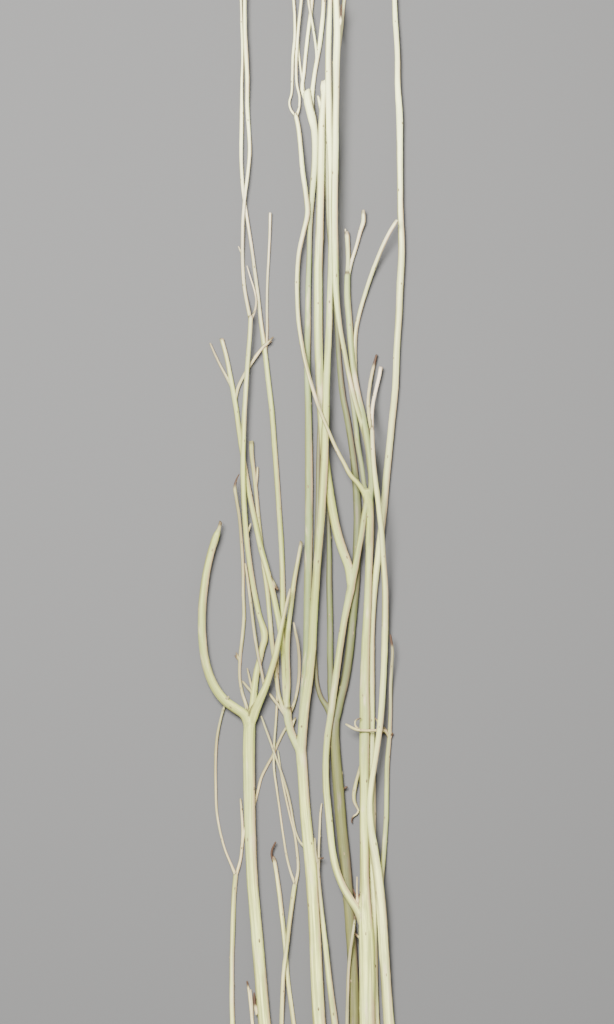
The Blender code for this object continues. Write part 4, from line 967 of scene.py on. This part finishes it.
spur("hub_crown", "crowned", 0.0145, [
    (368.6, 548, 6.6), (369.4, 528, 7.8), (368.9, 510, 8.8), (367.4, 498, 10), (366, 489, 10.4)], browned=0)
lay("hub_left_twig", "crowned", 0, [
    (368.5, 503, 6), (364.5, 488, 4.6), (361.3, 466, 4.6), (358, 446, 5), (356, 427, 5), (353.2, 407, 4.4),
    (350.2, 388, 3.4), (347.5, 370, 2)], browned=0.4, tone_and_shade=0.9)
lay("hub_middle", "hub_crown", 0.004, [
    (369, 505, 7), (371, 485, 6), (369.6, 462, 5.8), (366.6, 438, 6.6), (362.3, 415, 6.8),
    (357.2, 393, 6.4), (353.3, 370, 6.2), (350.8, 345, 6.2), (349, 320, 6.2), (347.3, 295, 6.2),
    (347.4, 272, 5.6)], tone_and_shade=0.7)
lay("middle_left_tip", "hub_middle", 0.004, [
    (347.4, 278, 4.8), (348, 260, 4.4), (347.5, 244, 4.6), (346.8, 231.5, 4.8)], browned=0.35)
lay("middle_right_tip", "hub_middle", 0.008, [
    (347.6, 279, 4.2), (351.2, 263, 3.4), (356.5, 246, 3.5), (360.6, 231, 3.9), (363.2, 223, 4.5),
    (363.2, 211, 3.6)], browned=0.35)
lay("leaning_branch", "hub_middle", 0.016, [
    (356.2, 390, 4.8), (355, 370, 4), (354.8, 350, 3.9), (356, 330, 4), (359.5, 313, 4.1),
    (364.3, 296, 4.1), (370, 279, 4.2), (375.6, 264, 4.2), (382, 248, 4), (389.5, 233, 3.8),
    (396.4, 222, 3.9)], tone_and_shade=0.0)
spur("fork_thorn", "crowned_left", 0.002, [
    (357.8, 904, 2.6), (356.4, 897, 2.2), (354.4, 892.2, 1.8), (352.8, 887.5, 1.1)], browned=0.9)
spur("fork_side_thorn", "crowned_left", 0.002, [
    (358, 902, 2.4), (358.8, 894.5, 1.9), (361, 890.5, 1.3)], browned=0.7)
spur("trunk_splinter", "crowned", 0.003, [
    (361.5, 938.5, 2.8), (356.6, 933.8, 2.2), (353.2, 930.6, 1.3)], browned=0.6)
spur("crown_point", "broken_top_strand", 0.001, [
    (323.2, 98, 4.2), (321.8, 88, 2.8), (322.3, 82.2, 1.5)], browned=0.2)
spur("crown_side", "broken_top_strand", 0, [
    (321.8, 113, 5), (319.4, 103, 3.6), (317.8, 97, 1.8)], browned=0.2)
spur("crown_edge", "broken_top_strand", 0.001, [
    (324.6, 96, 4), (325.8, 86, 2.8), (325.2, 80.6, 1.5)], browned=0.2)
spur("middle_tip_point", "middle_left_tip", 0, [
    (346.6, 238, 2.8), (345.8, 232.5, 2.2), (345.2, 229.3, 1.3)], browned=0.2)


# Middle stem: right fork
# The right fork of the middle stem lies over the crowned stem's broken strand and runs to the top.
# It closes the middle stem, which is now swept and joined to one wood.
lay("right_fork", "middle", 0.006, [
    (301.3, 752, 9.8), (302.6, 730, 9.6), (305.2, 705, 9.2), (308.8, 680, 8.8), (311.8, 650, 8.4),
    (313.8, 615, 8.2), (316, 580, 7.8), (318.8, 545, 7.6), (321.6, 510, 7.8), (324, 470, 8),
    (325.2, 430, 7.8), (326, 395, 7), (327.5, 358, 6.6), (329, 325, 6.4), (330, 290, 5.6),
    (330.8, 250, 5.2), (331, 210, 5.2), (330.3, 165, 5.6), (329, 120, 6.2), (328.3, 80, 6.2),
    (328.3, 45, 5.8), (329.5, 15, 4.8), (331, -20, 4.2), (330, -65, 3.2), (332, -110, 1.8)], tone_and_shade=0.3)
grow("middle_stem", pale_wood, 19)


# Crowned stem: strands of the hub that lie on top
# The long left strand and the top strand cross over the rest and end in fine tips.
# They close the crowned stem, which is now swept and joined to one wood.
lay("top_strand", "hub_middle", 0.012, [
    (369.5, 470, 5.4), (367.5, 450, 4.8), (361.5, 424, 4.7), (354.6, 400, 4.6), (349, 377, 4.6),
    (344, 350, 4.6), (339.6, 327, 4.9), (336.8, 303, 5.8), (335.3, 270, 6.6), (334.4, 230, 7),
    (334.3, 190, 7), (335, 145, 6.8), (335.6, 105, 6.4), (336.1, 70, 6.8), (337, 35, 7), (336, 0, 6.2),
    (337, -40, 4.8), (336, -80, 3.4), (338, -118, 1.8)], tone_and_shade=0.3)
lay("top_right_tip", "top_strand", 0.010, [
    (338, 54, 4.4), (340, 38, 4.2), (341.9, 22, 3.8), (343.3, 8, 3.4), (344.8, -6, 3.2), (345.5, -40, 2.6),
    (349, -80, 1.6)])
lay("long_left_strand", "hub_crown", 0.006, [
    (368.6, 504, 6.6), (363.8, 492.5, 6.2), (357, 483, 4.8), (350.5, 476, 4.3), (343.5, 463, 3.8),
    (335, 446.5, 3.5), (327, 428.5, 3.5), (319, 408.5, 3.6), (312.3, 388, 3.7), (306.5, 367, 3.8),
    (302, 346, 3.9), (298.8, 324, 4.1), (297.3, 300, 4.2), (297.2, 277, 4.3), (299, 254, 4.3),
    (303.5, 233, 4.5), (307.4, 214, 5.2), (305.8, 195, 4.8), (302.8, 172, 4.5), (300.3, 148, 4.4),
    (297.8, 126, 4.4), (295.3, 114, 4.2)], tone_and_shade=0.0)
lay("long_left_outer_tip", "long_left_strand", 0.010, [
    (296, 117, 3.2), (290.7, 110, 2.2), (289.2, 103, 2), (291.2, 95, 2.2), (292.2, 78, 2.5), (293, 58, 2.8),
    (294.8, 38, 2.9), (294.6, 18, 2.9), (293.2, -5, 2.7), (292, -40, 2.2), (294, -72, 1.4)])
lay("long_left_inner_tip", "long_left_strand", 0.016, [
    (296, 118, 3.2), (299, 108, 2.4), (299.4, 98, 2.2), (297, 86, 2.4), (296.2, 66, 2.7), (297.2, 46, 2.8),
    (298.8, 24, 2.9), (301.5, 0, 3), (304, -30, 2.5), (302, -72, 1.5)])
lay("hooked_twig", "crowned", 0.002, [
    (361.5, 762, 3.4), (358.6, 773, 3.4), (355.6, 785, 3.8), (354, 795, 4), (354.4, 801, 3.6),
    (357, 807, 2.6), (358.6, 810.5, 1.9), (357, 813.5, 1.8), (353, 816.5, 1.6), (351.7, 819, 1.5),
    (352, 823, 1.2)], browned=0.7)
lay("fork_sliver", "crowned_left", 0.004, [
    (357.8, 906, 2.4), (356.8, 892, 1.7), (356.8, 875, 1.4)])
spur("top_crotch_scale", "top_strand", 0.003, [
    (339.6, 30, 3), (341, 18, 2.4), (341.2, 8, 1.5)], browned=1.0)
grow("crowned_stem", pale_wood, 23)


# Leaning stem
# The right stem that leans over the crowned stem, with two short tips and a thorny outer twig.
# It is peeled willow and lies on top of the crowned stem where they cross.
lay("leaning", "leaning_stem", 0.004, [
    (397, 1106, 11.5), (392.5, 1060, 11), (388.5, 1018, 10.6), (385.8, 980, 10.2), (383.2, 940, 10),
    (380.8, 905, 9.8), (377.5, 875, 9.6), (373.7, 848, 8.6), (370.6, 825, 7), (369.4, 803, 5.8),
    (371, 785, 5.6), (374, 765, 5.6), (377, 745, 5.8), (380, 722, 6), (382.4, 695, 6), (384, 660, 6.2),
    (385, 620, 6.6), (384.6, 585, 6.2), (382.7, 555, 5.6), (380.4, 525, 5.4), (377.6, 500, 5.2),
    (374.4, 475, 4.8), (372.3, 452, 4.5), (371.4, 428, 4.4)], tone_and_shade=-0.3)
lay("leaning_left_tip", "leaning", 0.004, [
    (371.4, 434, 3.8), (368.6, 416, 3.5), (368, 402, 3.3), (369.8, 386, 3.2), (373, 369, 3.1),
    (376.6, 354.5, 2.3)], browned=0.9, tone_and_shade=0.2)
lay("leaning_right_tip", "leaning", 0.008, [
    (371.6, 434, 3.8), (371.6, 416, 3.6), (373, 402, 3.4), (376.2, 388, 3.4), (379.2, 376, 3.6),
    (380.8, 367, 3.8)], tone_and_shade=-0.6)
lay("outer_twig", "leaning", 0.004, [
    (379.5, 897, 5.4), (381.8, 872, 4.8), (384.2, 848, 4.8), (386, 820, 4.8), (386.7, 790, 4.8),
    (387.2, 762, 4.7), (389.4, 736, 4.2), (390.3, 712, 3.6), (390.6, 686, 3.1), (391.8, 664, 2.8),
    (392.3, 650, 2.7), (390, 634, 2)], browned=0.9, tone_and_shade=0.6)
lay("cross_thorn", "outer_twig", 0, [
    (389, 737, 3.2), (384.5, 730.5, 3), (376, 730, 2.8), (364, 729.8, 2.7), (355, 728.3, 2.8),
    (349.5, 725.5, 2.4), (345.5, 723, 1.6)])
spur("thorn_curl", "cross_thorn", 0.0005, [
    (359.5, 729, 2.2), (355, 724.5, 1.7), (355.4, 719.6, 1.5), (358, 718, 1.5),
    (361, 717.2, 1.2)], browned=0.6)
spur("thorn_knob", "outer_twig", 0, [
    (389.8, 737, 4), (386.8, 732.5, 3.4), (384.6, 729.2, 2.6), (383.6, 726.6, 1.5)], browned=0.3)
spur("thorn_knob_side", "outer_twig", 0, [
    (387.5, 734, 3.2), (383.6, 731.6, 2.6), (382, 734, 1.4)], browned=0.5)
spur("outer_bud", "outer_twig", 0, [
    (389, 737.5, 3.8), (391.4, 734.6, 3.4), (393, 733.2, 2)], browned=0.6)
spur("leaning_thorn", "leaning", 0, [
    (379.6, 723, 3), (376.4, 719.2, 2.1), (374.2, 716.8, 1.1)], browned=0.5)
grow("leaning_stem", pale_wood, 29)


# Curved stem
# A curved thin stem beside the middle stem that ends in two fine tips.
# It is peeled willow, swept and joined at the fork.
lay("curved", "curved_stem", 0, [
    (346, 1100, 7), (339.5, 1055, 6.8), (334, 1018, 6.6), (330, 985, 6), (326.6, 955, 5.2),
    (323.4, 925, 4.6), (320.6, 898, 3.6), (318.7, 876, 3), (317.6, 860, 2.8)], tone_and_shade=0.5)
lay("curved_left_tip", "curved", 0.002, [
    (317.9, 866, 2.6), (315.5, 851, 2.3), (314.8, 837, 1.6)])
lay("curved_right_tip", "curved", 0.001, [
    (318.8, 868, 2.6), (318.8, 848, 2.2), (319.6, 828, 2.2), (320.6, 812, 1.8), (321.8, 803, 1.3)])
spur("curved_thorn", "curved", 0, [
    (317.4, 858.6, 3.2), (320.6, 857.8, 2.1), (323.8, 857, 1.3)], browned=0.6)
grow("curved_stem", pale_wood, 31)


# Slim shoot
# A short, very thin shoot that lies over the shaded stem.
# It is peeled willow with no branches.
lay("slim", "slim_shoot", 0.002, [
    (345, 1072, 3.6), (346.8, 1030, 3.4), (347.4, 1000, 3.3), (348.2, 972, 3.3), (350.4, 948, 3.2),
    (352.8, 930, 2.8), (355, 914, 1.6)], browned=0.5, tone_and_shade=0.7)
grow("slim_shoot", pale_wood, 37)


# Bud scars: the small raised ovals that point towards the tip, where buds sat on the willow.
# They are wood. One flattened bead is repeated on the points that the stems noted.
SCAR_WIDTH = 0.0007    # the size of the smallest scar
SCAR_SHARE = 0.20      # and how much of the stem's radius is added to it
SCAR_SEED = 4
scar_wood = bpy.data.materials.new("bud_scar_wood")
scar_wood.use_nodes = True
scar_paint = scar_wood.node_tree
scar_shader = scar_paint.nodes["Principled BSDF"]
scar_shader.inputs["Roughness"].default_value = 0.66
scar_place = add_node(scar_paint, "ShaderNodeTexCoord")
scar_noise = add_node(scar_paint, "ShaderNodeTexNoise", {"Scale": 420.0, "Detail": 3.0})
scar_ramp = add_node(scar_paint, "ShaderNodeValToRGB")
for element, place, colour in zip(
    scar_ramp.color_ramp.elements, (0.34, 0.60), ((0.10, 0.07, 0.028, 1), (0.26, 0.21, 0.095, 1))
):
    element.position = place
    element.color = colour
link_all(scar_paint, (
    (scar_place, "Object", scar_noise, "Vector"),
    (scar_noise, "Fac", scar_ramp, "Fac"),
    (scar_ramp, "Color", scar_shader, "Base Color"),
))

scar_group = bpy.data.node_groups.new("bud_scars", "GeometryNodeTree")
add_socket(scar_group, "Geometry", "Geometry")
scar_wood_in = add_socket(scar_group, "Wood", "Material")
scar_seed_in = add_socket(scar_group, "Seed", "Int")
add_socket(scar_group, "Geometry", "Geometry", "OUTPUT")
entry = add_node(scar_group, "NodeGroupInput")
leave = add_node(scar_group, "NodeGroupOutput")
points = add_node(scar_group, "GeometryNodeMeshToPoints")
bead = add_node(scar_group, "GeometryNodeMeshUVSphere", {"Radius": 1.0, "Segments": 8, "Rings": 4})
noted = {}
for label, kind in (("outward", "FLOAT_VECTOR"), ("along", "FLOAT_VECTOR"), ("width", "FLOAT")):
    noted[label] = add_node(
        scar_group, "GeometryNodeInputNamedAttribute", {"Name": label}, data_type=kind
    )
facing = add_node(scar_group, "FunctionNodeAxesToRotation", primary_axis="Z", secondary_axis="Y")
chance = add_node(
    scar_group, "FunctionNodeRandomValue", {0: (0.50, 1.05, 0.28), 1: (0.72, 1.70, 0.46)},
    data_type="FLOAT_VECTOR"
)
sized = add_node(scar_group, "ShaderNodeVectorMath", operation="SCALE")
repeated = add_node(scar_group, "GeometryNodeInstanceOnPoints")
real = add_node(scar_group, "GeometryNodeRealizeInstances")
smooth = add_node(scar_group, "GeometryNodeSetShadeSmooth")
painted = add_node(scar_group, "GeometryNodeSetMaterial")
link_all(scar_group, (
    (entry, "Geometry", points, "Mesh"),
    (points, "Points", repeated, "Points"),
    (bead, "Mesh", smooth, "Geometry"),
    (smooth, "Geometry", repeated, "Instance"),
    (noted["outward"], "Attribute", facing, "Primary Axis"),
    (noted["along"], "Attribute", facing, "Secondary Axis"),
    (facing, "Rotation", repeated, "Rotation"),
    (entry, "Seed", chance, "Seed"),
    (chance, 0, sized, 0),
    (noted["width"], "Attribute", sized, "Scale"),
    (sized, 0, repeated, "Scale"),
    (repeated, "Instances", real, "Geometry"),
    (real, "Geometry", painted, "Geometry"),
    (entry, "Wood", painted, "Material"),
    (painted, "Geometry", leave, "Geometry"),
))

scar_places, scar_outward, scar_along, scar_radius = (np.array(column) for column in zip(*scars))
scar_mesh = bpy.data.meshes.new("bud_scar_points")
scar_mesh.from_pydata(scar_places.tolist(), [], [])
note_points(scar_mesh, "outward", scar_outward)
note_points(scar_mesh, "along", scar_along)
note_points(scar_mesh, "width", SCAR_WIDTH + SCAR_SHARE * scar_radius)
bud_scars = add_object("bud_scars", scar_mesh)
scar_modifier = bud_scars.modifiers.new("repeat", "NODES")
scar_modifier.node_group = scar_group
scar_modifier[scar_wood_in.identifier] = scar_wood
scar_modifier[scar_seed_in.identifier] = SCAR_SEED
make_plain(bud_scars)
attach(bud_scars, "root")


# Floor, light and camera: a plain pale studio floor that the stems lie on, with soft light from
# a large panel and a weak one overhead. The camera looks straight down, with the tips at the top.
floor_mesh = bpy.data.meshes.new("floor")
floor_mesh.from_pydata([(-5, -5, 0), (5, -5, 0), (5, 5, 0), (-5, 5, 0)], [], [(0, 1, 2, 3)])
floor = add_object("floor", floor_mesh)
floor_paint = bpy.data.materials.new("pale_floor")
floor_paint.use_nodes = True
floor_shader = floor_paint.node_tree.nodes["Principled BSDF"]
floor_shader.inputs["Base Color"].default_value = (0.105, 0.105, 0.105, 1)
floor_shader.inputs["Roughness"].default_value = 0.9
floor_shader.inputs["Specular IOR Level"].default_value = 0.1
floor_mesh.materials.append(floor_paint)


def light_panel(name, width, depth, energy, colour, place, target):
    # A soft square-cornered light that faces its target
    light = bpy.data.lights.new(name, "AREA")
    light.shape = "RECTANGLE"
    light.size = width
    light.size_y = depth
    light.energy = energy
    light.color = colour
    panel = add_object(name, light)
    panel.location = place
    aim = mathutils.Vector(target) - panel.location
    panel.rotation_euler = aim.to_track_quat("-Z", "Y").to_euler()


light_panel("key_panel", 1.0, 1.2, 400.0, (1.0, 0.985, 0.96), (-0.55, 0.75, 2.7), (0, 0.1, 0))
light_panel("fill_panel", 3.0, 3.0, 18.0, (0.96, 0.98, 1.0), (2.0, -0.8, 2.4), (0, 0, 0))
world = bpy.data.worlds.new("studio")
world.use_nodes = True
world.node_tree.nodes["Background"].inputs["Color"].default_value = (0.97, 0.98, 1.0, 1)
world.node_tree.nodes["Background"].inputs["Strength"].default_value = 0.47
bpy.context.scene.world = world

camera_data = bpy.data.cameras.new("camera")
camera_data.lens = 175.8
camera_data.sensor_width = 36.0
camera_data.clip_end = 50.0
camera = add_object("camera", camera_data)
camera.location = (0.0068, -0.01173, 6.0)
bpy.context.scene.camera = camera
